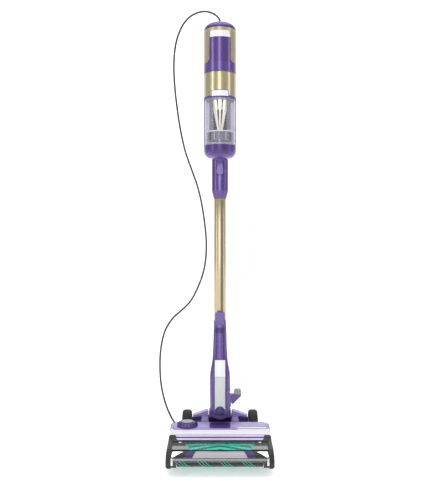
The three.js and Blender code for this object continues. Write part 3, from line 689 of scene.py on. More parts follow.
def cyclone():
    """The shroud with its open front, a sheet and core in near-black painted shade, and the ring of cones
    that hangs inside.
    """
    top = DECK_Z - 0.4
    sleeve = wrap(behind(SHROUD_Z, top, 0.68, 27.5), 1, 60)
    up("cyclone_shroud", sleeve, SHROUD, replaces=["cyclone_cone"])
    # A near-black sheet inside the shroud: painted shade behind and between the cones.
    up("cyclone_hollow", wrap(behind(SHROUD_Z + 0.5, top - 0.2, 0.8, 26.3), 0.8, 60), PAINTED_SHADE)
    deck = [(0, DECK_Z), (38.3, DECK_Z), (38.3, DECK_Z + 4.6), (0, DECK_Z + 4.6)]
    up("cyclone_deck", on_barrel(deck), SHROUD)
    # The core between the cones is near-black painted shade too.
    core = [(0, SHROUD_Z), (1.2, SHROUD_Z), (2, 850), (8, 900), (12, DECK_Z - 0.2), (0, DECK_Z - 0.2)]
    up("cyclone_core", on_barrel(core), PAINTED_SHADE)
    for i in range(CONES):
        a = math.radians(-90 + i * 360 / CONES)
        rings = []
        for share in (1.0, 0.85, 0.6, 0.36, 0.31, 0.28, 0.1, 0):
            z = DECK_Z - 0.5 - share * 82
            lean = 3.4 + 15.1 * (1 - share) ** 0.9
            r = 5.2 - 2.4 * share if share < 0.3 else 2.4 - 1.6 * (share - 0.3)
            rings.append(oval(math.cos(a) * lean, BARREL_Y + math.sin(a) * lean, z, r, r, count=24))
        # Each cone glows: painted light.
        up(f"cyclone_cone_{i + 1}", loft(rings), CONE_PAINTED_GLOW, sharp=50)


def screen():
    """The ribbed screen under the cones, every other rib in painted shade, the cup's seal, its side rails
    and a pale glowing sheet of painted light round its back.
    """
    r, low, high = BARREL_R, CUP_LOW.z, CUP_HIGH.z
    hoop = [(29.5, 838.2), (34.5, 838.2), (35, 839.6), (34.5, 841), (29.5, 841)]
    up("screen_hoop", on_barrel(hoop, closed=True), WHITE)
    skirt = [(28.2, 815), (29.6, 815), (29.6, 838), (28.2, 838)]
    up("screen_skirt", on_barrel(skirt, closed=True), SHROUD)
    seal = [(34, 805), (39.2, 805), (39.2, 809.5), (36, 811), (34, 810)]
    up("cup_seal", on_barrel(seal, closed=True), SILVER, slot="white_plastic")
    for side, name in LEFT_RIGHT:
        rail = [(z, side * 1.57 - 0.05, side * 1.57 + 0.05, r + 0.2) for z in (low + 1, high - 1)]
        up(f"cup_rail_{name}", wrap(rail, 2.3, 4), DEEP_PURPLE)
    # A pale glowing sheet round the cup's back and sides: painted light seen through the clear wall.
    up("cup_painted_light", wrap(behind(low + 9, high - 5, 1.3, r - 2.2), 0.8, 40), CUP_PAINTED_LIGHT)
    rib = slab(rounded([(29.9, 818), (33.5, 818), (34.2, 838), (29.9, 838)], 1, 3), "xz", -1.2, 1.2)
    for i in range(SCREEN_RIBS):
        turn = Matrix.Rotation(math.radians((i + 0.5) * 360 / SCREEN_RIBS), 3, "Z")
        # Every other rib is near-black: painted shade in the screen's gaps.
        tone = SILVER if i % 2 else PAINTED_SHADE
        up(f"screen_rib_{i + 1}", moved(rib, (0, BARREL_Y, 0), turn), tone)
    stem = revolve([(0, 806), (4, 806), (5.5, 815), (4, 837), (0, 837)], 0, BARREL_Y, count=40)
    up("cyclone_stem", stem, SILVER)


LID_CURVE = [(22, 0.3), (31, 2.6), (37, 7), (40.4, 13), (41.8, 20), (42, 26), (42, 32.8)]
LID_STEP = [  # (height, lift off the lid) up the stepped plate on the lid's front
    (9, 0.3), (12, 0.35), (14.5, 0.35), (14.8, 0.8), (17, 0.8), (19.5, 0.8),
    (19.8, 0.35), (24, 0.35), (28.5, 0.35), (28.8, 0.8), (31.5, 0.8),
]


def lid_radius(height):
    """The lid's outer radius at a height above its lowest point."""
    for (r0, h0), (r1, h1) in zip(LID_CURVE, LID_CURVE[1:]):
        if height <= h1:
            return r0 + (r1 - r0) * max(0.0, (height - h0) / (h1 - h0))
    return LID_CURVE[-1][0]


def on_lid(name, shape, material, **dressing):
    """A piece that swings with the cup's lid."""
    part(name, shape, material, "cup_door", **dressing)


def cup_lid():
    """The lid's bowl, the stepped plate in a darker purple of painted shade with three lines on its front,
    and its hinge.
    """
    low = LID_Z
    bowl = [(0, 0.3), *LID_CURVE, (39, 32.8), (38, 22), (33, 9), (0, 5)]
    on_lid("lid_bowl", on_barrel([(r, low + h) for r, h in bowl]), PURPLE, replaces=["cup_lid"])
    rows = [(low + h, -0.62, 0.62, lid_radius(h) + lift) for h, lift in LID_STEP]
    # The stepped plate is a darker purple: painted shade in the lid's recess.
    on_lid("lid_step", wrap(rows, 1.2), LID_PAINTED_SHADE, sharp=25)
    for k, height in enumerate((14.6, 19.6, 28.6)):
        line = band(low + height, low + height + 0.9, 0.6, lid_radius(height) + 0.9)
        on_lid(f"lid_line_{k + 1}", wrap(line, 0.6), MID_PURPLE)
    hinge_y = span("cup_lid")[1].y
    pin = [(0, -11), (2.6, -11), (2.6, 11), (0, 11)]
    on_lid("lid_knuckle", lathe(pin, "x", (0, hinge_y - 1.6, low + 2.9), count=24), MID_PURPLE)
    arm = [(-11, low + 0.4), (11, low + 0.4), (11, low + 5), (-11, low + 5)]
    on_lid("lid_hinge_arm", slab(arm, "xz", hinge_y - 16, hinge_y - 2), PURPLE, bevel=0.8)


def pill(z_low, z_high, r_low, r_high, steps=12):
    """An upright pill outline in x and z with its own radius at each end."""
    out = []
    for first, r, z in ((math.pi, r_low, z_low + r_low), (0.0, r_high, z_high - r_high)):
        for k in range(steps + 1):
            a = first + math.pi * k / steps
            out.append((r * math.cos(a), z + r * math.sin(a)))
    return out


def connector():
    """The socket over the wand's top, with its release key in a well whose floor is painted shade."""
    z0, z1, r = SOCKET_LOW.z, SOCKET_HIGH.z, SOCKET_HIGH.x
    sizes = [(z0, 16.9), (z0 + 0.8, 17.4), (z0 + 12, 20.4), (z0 + 20, 22.2), (z0 + 24, r)]
    sizes += [(z1 - 0.5, r), (z1, r - 0.5)]
    skin = raw("connector_skin", *loft([oval(0, AXIS_Y, z, rx, rx, 2.35) for z, rx in sizes]))
    bore = revolve([(0, z0 - 5), (14.5, z0 - 5), (14.5, z1 + 5), (0, z1 + 5)], 0, AXIS_Y)
    front, deep = AXIS_Y - r, 5.8
    carve(skin, bore, slab(pill(733.2, 783.4, 10.5, 7.9), "xz", front - 6, front + deep))
    dress(skin, PURPLE, "upright", replaces=["wand_connector"], sharp=28)
    low, high = span("wand_release_button")
    key = slab(pill(734, 782.6, 9.7, 7.1), "xz", low.y + 0.3, high.y)
    part("release_key", key, PURPLE, "wand_latch", replaces=["wand_release_button"], bevel=1.4)
    # The well's floor is deep purple: painted shade in the recess round the key.
    floor = slab(pill(733.4, 783.2, 10.3, 7.7), "xz", front + deep - 0.4, front + deep)
    up("key_well_floor", floor, DEEP_PURPLE)


def wand():
    """The gold tube and the dark rail down its front."""
    z0, z1, r, wall = WAND_LOW.z, WAND_HIGH.z, WAND_HIGH.x, 1.5
    sizes = [(z0, r - 0.4), (z0 + 0.5, r), (z1 - 0.5, r), (z1, r - 0.4), (z1, r - wall), (z0, r - wall)]
    skin = loft([oval(0, AXIS_Y, z, q, q, 2.5) for z, q in sizes], closed=True)
    up("wand_skin", skin, GOLD, replaces=["wand_tube"], slot="gold_metal", sharp=50)
    groove = rounded([(1.5, z0 + 4), (8.5, z0 + 4), (8.5, z1 - 4), (1.5, z1 - 4)], 3)
    rail = slab(groove, "xz", AXIS_Y - r - 0.15, AXIS_Y - r + 1.4)
    up("wand_rail", rail, DARK_GOLD, bevel=0.5)


def duct():
    """The duct behind the cup and the saddle that joins it to the barrel."""
    low, high = span("rear_duct")
    rings = []
    for z, rx, back in ((low.z - 1.2, 20, 0), (low.z + 3, 20, 0), (high.z - 10, 20, 0), (high.z, 17.5, 2)):
        front = AXIS_Y - 21.5 if z < CUP_LOW.z + 6 else low.y + 0.3
        cy, ry = (front + high.y - back) / 2, (high.y - back - front) / 2
        rings.append(oval(0, cy, z, rx, ry, 4.5))
    up("duct_skin", loft(rings), PURPLE, replaces=["rear_duct"], bevel=0.8)
    foot = rounded([(-14, 800), (14, 800), (14, 926), (-14, 926)], 5)
    saddle = slab(foot, "xz", BARREL_Y + BARREL_R + 0.2, (low.y + high.y) / 2)
    up("duct_saddle", saddle, MID_PURPLE)


HANDLE_Y = span("handle")[0].y
HANDLE_LOOP = [  # (distance behind the barrel's back, z) round the loop
    (9, 972), (8.5, 1010), (8.5, 1060), (10, 1094), (20, 1107), (42, 1111.5), (72, 1114.5),
    (102, 1115.5), (112, 1103), (110, 1070), (106, 1036), (98, 1004), (80, 982), (52, 971), (26, 966),
]


def handle_section(share):
    """The loop's section, thickest halfway round, at the grip."""
    across = 8.2 + 3.4 * (0.5 - 0.5 * math.cos(2 * math.pi * share))
    return [(y, x) for x, y, _ in oval(0, 0, 0, 14.6, across, 2.7, 40)]


def grip_section(share):
    """The rubber pad's section, which stands a little proud of the loop's inside."""
    return [(y * 0.9 - 1.4, x) for x, y, _ in oval(0, 0, 0, 12.2, 11.4, 2.7, 40)]


def handle():
    """The root on top of the duct, the loop and its rubber grip."""
    y0, z0 = HANDLE_Y, span("rear_duct")[1].z
    corners = [(0, 0.4), (42, 0.4), (34, 9), (8, 26), (0, 34)]
    root = slab(rounded([(y0 + y, z0 + z) for y, z in corners], 5), "yz", -12.5, 12.5)
    up("handle_root", root, PURPLE, bevel=2.0)
    path = flat_spline([(y0 + y, z) for y, z in HANDLE_LOOP], per=6, closed=True)
    loop = sweep(path, handle_section, closed=True)
    up("handle_loop", loop, PURPLE, replaces=["handle"], sharp=60)
    grip = [p for p in path if p[0] > y0 + 97 and 1000 < p[1] < 1094]
    up("handle_grip", sweep(grip[::-1], grip_section), RUBBER, sharp=60)


# ---- Neck ---------------------------------------------------------------------------------------
NECK_SHAPE = [  # z, half width, half depth
    (96.8, 23.5, 25), (99, 25.5, 27), (108, 27.2, 28), (150, 27.8, 28), (190, 28, 28),
    (204, 27.3, 26.6), (218, 24.8, 23.8), (236, 21.4, 21.3), (270, 19.2, 20), (310, 17.9, 18.8),
    (340, 16.9, 17.7), (345.7, 16.5, 17.4),
]
SWIVEL = Vector((0, AXIS_Y, 108))  # the middle of the swivel pin
TAB_LOW, TAB_HIGH = span("lower_release_tab")
HOOK_LOW, HOOK_HIGH = span("cord_hook")


def neck_depth(z):
    """Half the neck's depth at a height."""
    for (z0, _, y0), (z1, _, y1) in zip(NECK_SHAPE, NECK_SHAPE[1:]):
        if z <= z1:
            return y0 + (y1 - y0) * max(0.0, (z - z0) / (z1 - z0))
    return NECK_SHAPE[-1][2]


def facing(rows, depth, lift):
    """A plate that follows the neck's front: rows of (z, left x, right x)."""
    rings = []
    for z, x0, x1 in rows:
        y = AXIS_Y - neck_depth(z) - lift
        front = [(x0, y + 0.5, z), (x0 + 1, y, z), (x1 - 1, y, z), (x1, y + 0.5, z)]
        rings.append([*front, (x1, y + depth, z), (x0, y + depth, z)])
    return loft(rings)


def centred(half, *heights):
    """Rows for facing: a plate half a width to each side of the middle."""
    return [(z, -half, half) for z in heights]


def neck_body():
    """The neck's casing, hollowed for the swivel, the airway and the release tab, and its pin."""
    body = raw("neck_body", *loft([oval(0, AXIS_Y, z, rx, ry, 3.4) for z, rx, ry in NECK_SHAPE]))
    cavity = lathe([(0, -13.8), (31, -13.8), (31, 40), (0, 40)], "y", SWIVEL, count=64)
    airway = revolve([(0, 130), (13.5, 130), (13.5, 360), (0, 360)], 0, AXIS_Y)
    half, low, high = 13.9, TAB_LOW.z - 0.6, 400
    mouth = rounded([(-half, low), (half, low), (half, high), (-half, high)], 2)
    carve(body, cavity, airway, slab(mouth, "xz", AXIS_Y - 40, AXIS_Y - 16.4))
    dress(body, PURPLE, "upright", replaces=["neck_front_shell", "neck_back_shell"], sharp=30)
    cap = [(0, -31.5), (8, -31.3), (11.6, -30.2), (12.6, -28.2), (12.6, -26), (0, -26)]
    up("swivel_cap", lathe(cap, "y", SWIVEL), DEEP_PURPLE)
    pin = lathe([(0, -27.5), (8, -27.5), (8, 26.5), (0, 26.5)], "y", SWIVEL)
    up("swivel_shaft", pin, STEEL, replaces=["swivel_pin"], slot="metallic_purple", sharp=40)


def neck_front():
    """The panel, white above and pale grey below, the ridge and collar above it, and the shadow lines
    beside them.
    """
    panel = facing(centred(14, 198, 204, 212, 220, 230, 241.5), 4, 0.6)
    up("neck_panel_upper", panel, WHITE, bevel=0.3, steps=2)
    panel = facing(centred(14, 112.8, 121, 150, 180, 197.4), 4, 0.6)
    up("neck_panel_lower", panel, PALE, replaces=["neck_panel"], bevel=0.3, steps=2)
    for side, name in LEFT_RIGHT:
        x0, x1 = sorted((side * 14.4, side * 16.6))
        rows = [(z, x0, x1) for z in (116, 150, 190, 204, 218, 236, 244)]
        up(f"panel_shadow_{name}", facing(rows, 3, 0.15), DEEP_PURPLE)
        x0, x1 = sorted((side * 9.6, side * 11.2))
        rows = [(z, x0, x1) for z in (243, 270, 300, 313)]
        up(f"ridge_shadow_{name}", facing(rows, 3, 0.35), DEEP_PURPLE)
    up("neck_ridge", facing(centred(9.4, 242.3, 270, 300, 313), 5, 1.6), PURPLE, bevel=1.0)
    up("neck_collar", facing(centred(12.6, 313.6, 320, 328), 5, 0.8), DEEP_PURPLE, bevel=0.8)


def foot_tab():
    """The release tab at the neck's top, with two ribs for the foot."""
    z0, z1, y = TAB_LOW.z, TAB_HIGH.z, TAB_LOW.y
    tab = slab(rounded([(-13.2, z0), (13.2, z0), (12.7, z1), (-12.7, z1)], 3.5), "xz", y, TAB_HIGH.y)
    part("foot_tab", tab, PURPLE, "foot_latch", replaces=["lower_release_tab"], bevel=0.9)
    for k, z in enumerate((349.5, 355.5)):
        line = rounded([(-9, z), (9, z), (9, z + 1.6), (-9, z + 1.6)], 0.7, 3)
        rib = slab(line, "xz", y - 0.5, y + 0.6)
        part(f"tab_rib_{k + 1}", rib, PURPLE, "foot_latch", bevel=0.3)


def hook():
    """The cord hook with its grey tip, and the mount that it turns on."""
    y = (HOOK_LOW.y + HOOK_HIGH.y) / 2
    arm = [(29.8, 123), (34, 119.5), (57, 142), (57.2, 150), (47, 153), (39, 148), (29.8, 149)]
    shape = slab(rounded(arm, 4), "xz", y - 6.5, y + 6.5)
    part("hook_arm", shape, PURPLE, "hook", replaces=["cord_hook"], bevel=1.6)
    tip = rounded([(37.5, 146.5), (56.5, 144), (57.5, 161), (37.5, 161)], 7)
    part("hook_tip", slab(tip, "xz", y - 7, y + 7), GREY, "hook", bevel=2)
    mount = rounded([(16.6, 121), (29.2, 119), (29.2, 154), (16.6, 166)], 3)
    up("hook_mount", slab(mount, "xz", AXIS_Y - 30.2, AXIS_Y - 15), PURPLE, bevel=1.5)


# ---- Floor head ---------------------------------------------------------------------------------
COVER_PROFILE = [(-24.4, 66.6), (-24.4, 70), (-18, 71.6), (30, 72.5), (36, 71.4), (39, 68.5)]
BEZEL_HALF = 115
WINDOW_BACK, WINDOW_FRONT = (-65.3, 48.2), (-113, 42.2)  # (y, z) at the window's two ends
WINDOW = rounded([(-91, -66), (91, -66), (79, -112.6), (-79, -112.6)], 4)
VISOR_R = 20.8
VISOR_Y = (ROLLER_LOW.y + ROLLER_HIGH.y) / 2
VISOR_Z = (ROLLER_LOW.z + ROLLER_HIGH.z) / 2 + 0.5


def cover():
    """The lavender cover, with its inlay, the white stripe, the lip and the stripe's wing."""
    half, back = COVER_HALF, COVER_HIGH.y
    profile = [*COVER_PROFILE, (back, 64), (back, 8), (38.3, 8), (38.3, 66.4)]
    skin = raw("cover_skin", *slab(rounded(profile, 2, 3), "yz", -half, half))
    carve(skin, lathe([(0, -20), (14.5, -20), (14.5, 20), (0, 20)], "y", (0, back, 32)))
    dress(skin, LAVENDER, "floor_head", replaces=["top_cover"], sharp=28)
    inlay = [(-24.2, 70.4), (-18, 72), (21.5, 73.0), (21.5, 72.3), (-18, 71.2), (-24.2, 69.4)]
    on_head("cover_inlay", slab(inlay, "yz", -27, 27), MID_PURPLE)
    stripe = rounded([(-24.7, 62.5), (-24.7, 70.2), (-27, 70), (-46.5, 61.2), (-46.5, 55.5)], 1, 3)
    ends = [[(side * (half + 10.5 - 0.3 * (z - 60)), y, z) for y, z in stripe] for side in (-1, 1)]
    on_head("stripe_skin", loft(ends), WHITE, replaces=["top_trim"], sharp=28)
    lip = [(-24.2, 70.2), (-24.2, 71.1), (-26.6, 71.0), (-30.8, 68.9), (-30.8, 67.6), (-27, 69.4)]
    on_head("cover_lip", slab(lip, "yz", -half, 46), LAVENDER, sharp=60)
    wing = [(42, -26.4), (58, -15.6), (half, -15.6), (half, -26.4)]
    line = [(57, -16.6), (half, -16.6), (half, -15.6), (56.5, -15.6)]
    for name, outline, lift, material in (
        ("stripe_wing", wing, 0.5, WHITE),
        ("stripe_line", line, 0.9, DEEP_PURPLE),
    ):
        base = [(x, y, 71.5 + min(0, y + 24.4) * 0.1) for x, y in outline]
        rings = [[(x, y, z + rise) for x, y, z in base] for rise in (0.0, lift)]
        on_head(name, loft(rings), material, slot="white_plastic")


def bezel_bar(name, back, front, material, inset, lift):
    """A flat bar on the bezel's slope between two (y, z) lines, shorter at its front."""
    slope = (Vector(front) - Vector(back)).normalized()
    rise = Vector((slope.y, -slope.x)) * lift
    x0, x1 = BEZEL_HALF - inset, BEZEL_HALF - inset - 4
    rings = []
    for dy, dz in ((0, 0), rise):
        (y0, z0), (y1, z1) = (back[0] + dy, back[1] + dz), (front[0] + dy, front[1] + dz)
        rings.append([(-x0, y0, z0), (-x1, y1, z1), (x1, y1, z1), (x0, y0, z0)])
    on_head(name, loft(rings), material, slot="lavender", bevel=0.4, steps=2)


def bezel():
    """The light bar's black bed, its two lilac rails, the slot between them and two screws."""
    bed = [(-46.8, 55), (-46.8, 60.4), (-50, 59.8), (-65, 49.2), (-65, 45.5)]
    shape = slab(bed, "yz", -COVER_HALF, COVER_HALF)
    on_head("bezel_bed", shape, BLACK, replaces=["light_bar_bezel"])
    bezel_bar("bezel_top_rail", (-49.5, 60.2), (-54.2, 56.9), LILAC, 0, 1.0)
    bezel_bar("bezel_slot", (-54.4, 56.7), (-57.6, 54.5), DEEP_PURPLE, 1.5, 0.4)
    bezel_bar("bezel_low_rail", (-57.8, 54.4), (-62.4, 51.1), LILAC, 2.5, 1.0)
    screw = lathe([(0, -1), (1.9, -1), (1.9, 0.6), (1.3, 1.0), (0, 1.0)], "y", (0, 0, 0), count=24)
    tilt = Matrix.Rotation(math.radians(-55), 3, "X") @ Matrix.Rotation(math.pi, 3, "Z")
    for side in (-1, 1):
        on_head(f"bezel_screw_{side + 2}", moved(screw, (side * 50, -60, 53.6), tilt), STEEL)


def on_window(outline, low, high):
    """An x and y outline laid on the window's slope, from one height off it to another."""
    (y0, z0), (y1, z1) = WINDOW_BACK, WINDOW_FRONT
    slope = (z1 - z0) / (y1 - y0)
    return loft([[(x, y, z0 + (y - y0) * slope + lift) for x, y in outline] for lift in (low, high)])


def window():
    """The clear window over the bristle roll, and the black frame round it."""
    on_head("window_skin", on_window(WINDOW, 0.0, -2.0), PANE, replaces=["brush_window"])
    half, back, front = COVER_HALF, WINDOW_BACK[0], WINDOW_FRONT[0]
    wide = rounded([(-half, back), (half, back), (half, front), (-half, front)], 1)
    surround = raw("window_frame", *on_window(wide, -0.3, -2.9))
    carve(surround, slab(WINDOW, "xy", 30, 60))
    dress(surround, BLACK, "floor_head", sharp=30)


def visor_strip(outer, inner, start, end, steps=14):
    """A y and z outline between two radii about the visor's centre, from one angle to another."""
    out = []
    for radius, first, last in ((outer, start, end), (inner, end, start)):
        for k in range(steps + 1):
            a = math.radians(first + (last - first) * k / steps)
            out.append((VISOR_Y + radius * math.cos(a), VISOR_Z + radius * math.sin(a)))
    return out


def visor_plate(name, left, right, start, end, lift, thick, material, steps=10, **dressing):
    """A plate on the visor, its two sides running from one x to another along the curl."""
    rings = []
    outer, inner = VISOR_R + lift, VISOR_R + lift - thick
    for k in range(steps + 1):
        t = k / steps
        a = math.radians(start + (end - start) * t)
        x0, x1 = (pair[0] + (pair[1] - pair[0]) * t for pair in (left, right))
        corners = ((x0, outer), (x1, outer), (x1, inner), (x0, inner))
        rings.append([(x, VISOR_Y + r * math.cos(a), VISOR_Z + r * math.sin(a)) for x, r in corners])
    on_head(name, loft(rings), material, bevel=0.3, steps=2, **dressing)


def visor():
    """The clear visor over the soft roller, its guards and lip, the blank badge and its shade."""
    r, half = VISOR_R, COVER_HALF - 0.3
    skin = slab(visor_strip(r, r - 1.6, 96, 184), "yz", -half, half)
    on_head("visor_skin", skin, VISOR, replaces=["front_visor"], sharp=30)
    guard = visor_strip(20.3, 18.6, 184, 262)
    for side, name in LEFT_RIGHT:
        on_head(f"{name}_roller_guard", side_slab(guard, side, 107.6, 120.9), BLACK)
    lip = visor_strip(r + 0.1, r - 0.4, 160, 171, 4)
    on_head("visor_lip", slab(lip, "yz", -114, 114), GREY, slot="silver_plastic")
    visor_plate("badge_skin", (-58, -68), (58, 68), 99, 154, 0.35, 0.7, SILVER, replaces=["badge_plate"])
    visor_plate("visor_shadow", (-118, -118), (118, 118), 97, 152, 0.05, 0.5, DEEP_PURPLE)


def headlights():
    """Each end's lamp housing, lamp, the black bed round the lamp, and the glint by the window."""
    for side, name in LEFT_RIGHT:
        x0, x1 = sorted((side * 78, side * 119))
        outline = rounded([(x0, -92), (x1, -92), (x1, -112), (x0, -112)], 3)
        shape, stands_for = on_window(outline, -0.2, 0.9), [f"{name}_headlight"]
        on_head(f"{name}_lamp_housing", shape, GREY, replaces=stands_for, slot="lens", bevel=0.4, steps=2)
        sides = [(side * 91, side * 114), (side * 116, side * 119)][::side]
        visor_plate(f"{name}_lamp", *sides, 106, 148, 0.7, 0.8, LAMP)
        sides = [(side * 80, side * 88), (side * 119, side * 119)][::side]
        visor_plate(f"{name}_lamp_bed", *sides, 98, 154, 0.3, 0.8, BLACK)
        glint = [(side * x, y) for x, y in ((96, -70), (105, -66.5), (103, -74))]
        on_head(f"{name}_bezel_glint", on_window(glint, 0.0, 0.9), WHITE)


def cheeks():
    """The black end casings, crowned outwards, with a white flash and a lavender shoulder each."""
    outline = [(-119, 0.8), (-132.4, 0.8), (-134.4, 15), (-128, 34), (-110, 43), (-66, 51), (-46, 60.4)]
    outline += [(-20, 68.6), (28, 70.6), (38.5, 62), (38.5, 6), (30, 1.5)]
    ring = rounded(outline, 3.5, 4)
    cy, cz = -45, 32  # the point that the casing's edge is drawn in towards
    flash = rounded([(-135, 10), (-135.6, 20), (-134, 28), (-130, 26), (-130, 8)], 1.5, 3)
    top = [(-20, 70.2), (28, 71.2), (36, 64), (-24, 64)]
    for side, name in RIGHT_LEFT:
        rings = []
        for share, pull in ((0, 0), (0.45, 0), (0.75, 1.4), (0.92, 3.6), (1.0, 6.5)):
            points = []
            for y, z in ring:
                reach = 10.0 + 2.7 * min(1.0, max(0.0, (70 - z) / 48))
                length = math.hypot(y - cy, z - cz)
                keep = max(0.0, (length - pull) / length)
                x = side * (COVER_HALF + 0.3 + share * reach)
                points.append((x, cy + (y - cy) * keep, max(0.8, cz + (z - cz) * keep)))
            rings.append(points)
        on_head(f"{name}_cheek_skin", loft(rings), BLACK, replaces=[f"{name}_cheek"], sharp=40)
        on_head(f"{name}_visor_end", side_slab(flash, side, 115.5, 120.6), WHITE, bevel=0.5)
        shoulder = side_slab(top, side, COVER_HALF + 0.5, COVER_HALF + 7.4)
        on_head(f"{name}_shoulder", shoulder, LAVENDER, bevel=1.5)


# ---- Rolls --------------------------------------------------------------------------------------
ROLL_HALF = 107
FINS = 8
FIN_BEND = 0.0135  # radians that a fin turns for each millimetre from the roll's middle
STRIPE_REACH = 54  # how far a stripe runs to each side of its middle: half a turn
STRANDS = 3  # stripes side by side in each band


def helix(radius_in, radius_out, x0, x1, angle_at, wide, centre, steps):
    """A raised rib round a roll: its angle is a function of x, and it is wide across in radians."""
    section = ((-wide, radius_in), (-wide * 0.7, radius_out), (wide * 0.7, radius_out), (wide, radius_in))
    rings = []
    for k in range(steps + 1):
        x = x0 + (x1 - x0) * k / steps
        turns = [(angle_at(x) + turn, r) for turn, r in section]
        rings.append([(x, centre[0] + r * math.cos(a), centre[1] + r * math.sin(a)) for a, r in turns])
    return loft(rings)


def brush():
    """The teal bristle roll: a core with chevron fins, each with a dark edge, under a teal hood."""
    y, z = (BRUSH_LOW.y + BRUSH_HIGH.y) / 2, (BRUSH_LOW.z + BRUSH_HIGH.z) / 2
    x0, x1, half, r = BRUSH_LOW.x, BRUSH_HIGH.x, ROLL_HALF, 15.8
    core = [(0, x0), (5, x0), (5, -half), (r, -half), (r, half), (9, half), (9, x1), (0, x1)]
    shape = lathe(core, "x", (0, y, z))
    # The roll, fins and hood share the teal bristles' faint glow, which is painted light.
    part("brush_core", shape, TEAL, "bristle_roll", replaces=["brush_roll"], sharp=40)
    kinds = (("fin", 18.4, 0.0, 0.2, TEAL), ("edge", 19.3, 0.3, 0.07, DARK_TEAL))
    for i in range(FINS):
        for name, radius, shift, wide, tone in kinds:
            first = 2 * math.pi * i / FINS + 1.25 + shift
            shape = helix(
                15.5, radius, -half, half, lambda x: first + abs(x) * FIN_BEND, wide, (y, z), 90
            )
            part(f"brush_{name}_{i + 1}", shape, tone, "bristle_roll", sharp=60)
    hood = []
    for radius, angles in ((21.2, range(5, 76, 7)), (22, range(75, 4, -7))):
        turns = [math.radians(degrees) for degrees in angles]
        hood += [(y + radius * math.cos(a), z + radius * math.sin(a)) for a in turns]
    on_head("brush_hood", slab(hood, "yz", -108.6, 108.6), TEAL)


def roller():
    """The soft front roller: a dark pile sleeve with bands of teal stripes wound round it."""
    y, z = (ROLLER_LOW.y + ROLLER_HIGH.y) / 2, (ROLLER_LOW.z + ROLLER_HIGH.z) / 2
    x0, x1, half = ROLLER_LOW.x, ROLLER_HIGH.x, ROLL_HALF
    r = (ROLLER_HIGH.z - ROLLER_LOW.z) / 2
    core = [(0, x0), (5, x0), (5, -half), (r - 3, -half), (r - 0.9, -half + 2)]
    core += [(r - 0.9, half - 2), (r - 3, half), (9, half), (9, x1), (0, x1)]
    shape = lathe(core, "x", (0, y, z))
    part("roller_sleeve", shape, PILE, "soft_roller", replaces=["front_roller"])
    count = 0
    for start in range(-4, 4):
        for strand in range(STRANDS):
            shift = start * STRIPE_REACH + strand * 8.5
            low, high = max(-half + 3, shift - STRIPE_REACH), min(half - 3, shift + STRIPE_REACH)
            if high - low < 8:
                continue
            count += 1
            rib = helix(
                r - 1.4, r - 0.15, low, high,
                lambda x: math.pi + (x - shift) * math.pi / STRIPE_REACH, 0.06, (y, z), 48,
            )
            part(f"roller_stripe_{count}", rib, PILE_TEAL, "soft_roller")


# ---- Carriage and wheels ------------------------------------------------------------------------
CARRIAGE_IN, CARRIAGE_OUT = 31.8, 52  # how far from the middle the carriage's upright cheeks reach


def carriage():
    """The rear carriage: on each side a shaped back, an axle arm and a cheek, joined by a tray."""
    near, far = CARRIAGE_IN, CARRIAGE_OUT
    back = [(near, 16), (near, 93), (36, 94), (far, 88), (64, 84), (75, 80), (75, 56), (60, 52)]
    back += [(far, 30), (48, 14)]
    arm = [(50, 60), (76, 58), (76, 76), (50, 80)]
    line = [(50, 62), (76, 60), (76, 66), (50, 69)]
    cheek = [(40.4, 12), (40.4, 64), (62, 68), (72, 90), (88, 91), (104, 70), (111, 48), (102, 12)]
    for side, name in RIGHT_LEFT:
        for piece, outline, corner, y0, y1, material, bevel in (
            ("carriage", back, 4, 66, 92, LAVENDER, 2.0),
            ("axle_arm", arm, 3, 63.5, 67, DEEP_PURPLE, 0.8),
            ("axle_band", line, 2, 62.4, 64, PURPLE, 0.5),
        ):
            shape = slab(rounded([(side * x, z) for x, z in outline], corner), "xz", y0, y1)
            on_head(f"{piece}_{name}", shape, material, bevel=bevel)
        shape = side_slab(rounded(cheek, 5), side, near, far - 0.4)
        on_head(f"carriage_cheek_{name}", shape, LAVENDER, bevel=2.0)
    tray = slab(rounded([(-50, 41), (50, 41), (50, 100), (-50, 100)], 6), "xy", 14, 23)
    on_head("carriage_tray", tray, LAVENDER, replaces=["wheel_carriage"], bevel=1.5)


def wheels():
    """Each rear wheel's tyre and its hub, dished outwards."""
    centre = (WHEEL_LOW + WHEEL_HIGH) / 2
    r = (WHEEL_HIGH.z - WHEEL_LOW.z) / 2
    half = (WHEEL_HIGH.x - WHEEL_LOW.x) / 2
    tyre = [(30, -half), (r - 6, -half), (r - 2.2, -half + 2), (r, -half + 6.5), (r, half - 6.5)]
    tyre += [(r - 2.2, half - 2), (r - 6, half), (30, half)]
    hub = [(5.4, -half + 1), (29.8, -half + 1), (29.8, half - 1.5), (26, half - 0.6), (12, half - 3)]
    hub += [(10, half - 0.5), (5.4, half - 0.5)]
    for side, name in RIGHT_LEFT:
        place, body = (side * centre.x, centre.y, centre.z), f"{name}_rear_wheel"
        shape = lathe(tyre, "x", place, closed=True, count=96)
        part(f"{name}_tyre", shape, RUBBER, body, replaces=[f"{name}_wheel"])
        shape = lathe([(q, side * x) for q, x in hub], "x", place, closed=True)
        part(f"{name}_hub", shape, BLACK, body)


# ---- Scent dial ---------------------------------------------------------------------------------
DIAL_LOW, DIAL_HIGH = span("odour_dial")
DIAL_X, DIAL_Y = (DIAL_LOW.x + DIAL_HIGH.x) / 2, (DIAL_LOW.y + DIAL_HIGH.y) / 2
DIAL_Z = 73.1  # the dial's underside
DIAL_GRIPS = 16
CARTRIDGE_R = 14.4


def on_dial(name, shape, material, **dressing):
    """A piece that turns with the dial."""
    part(name, shape, material, "scent_dial", **dressing)


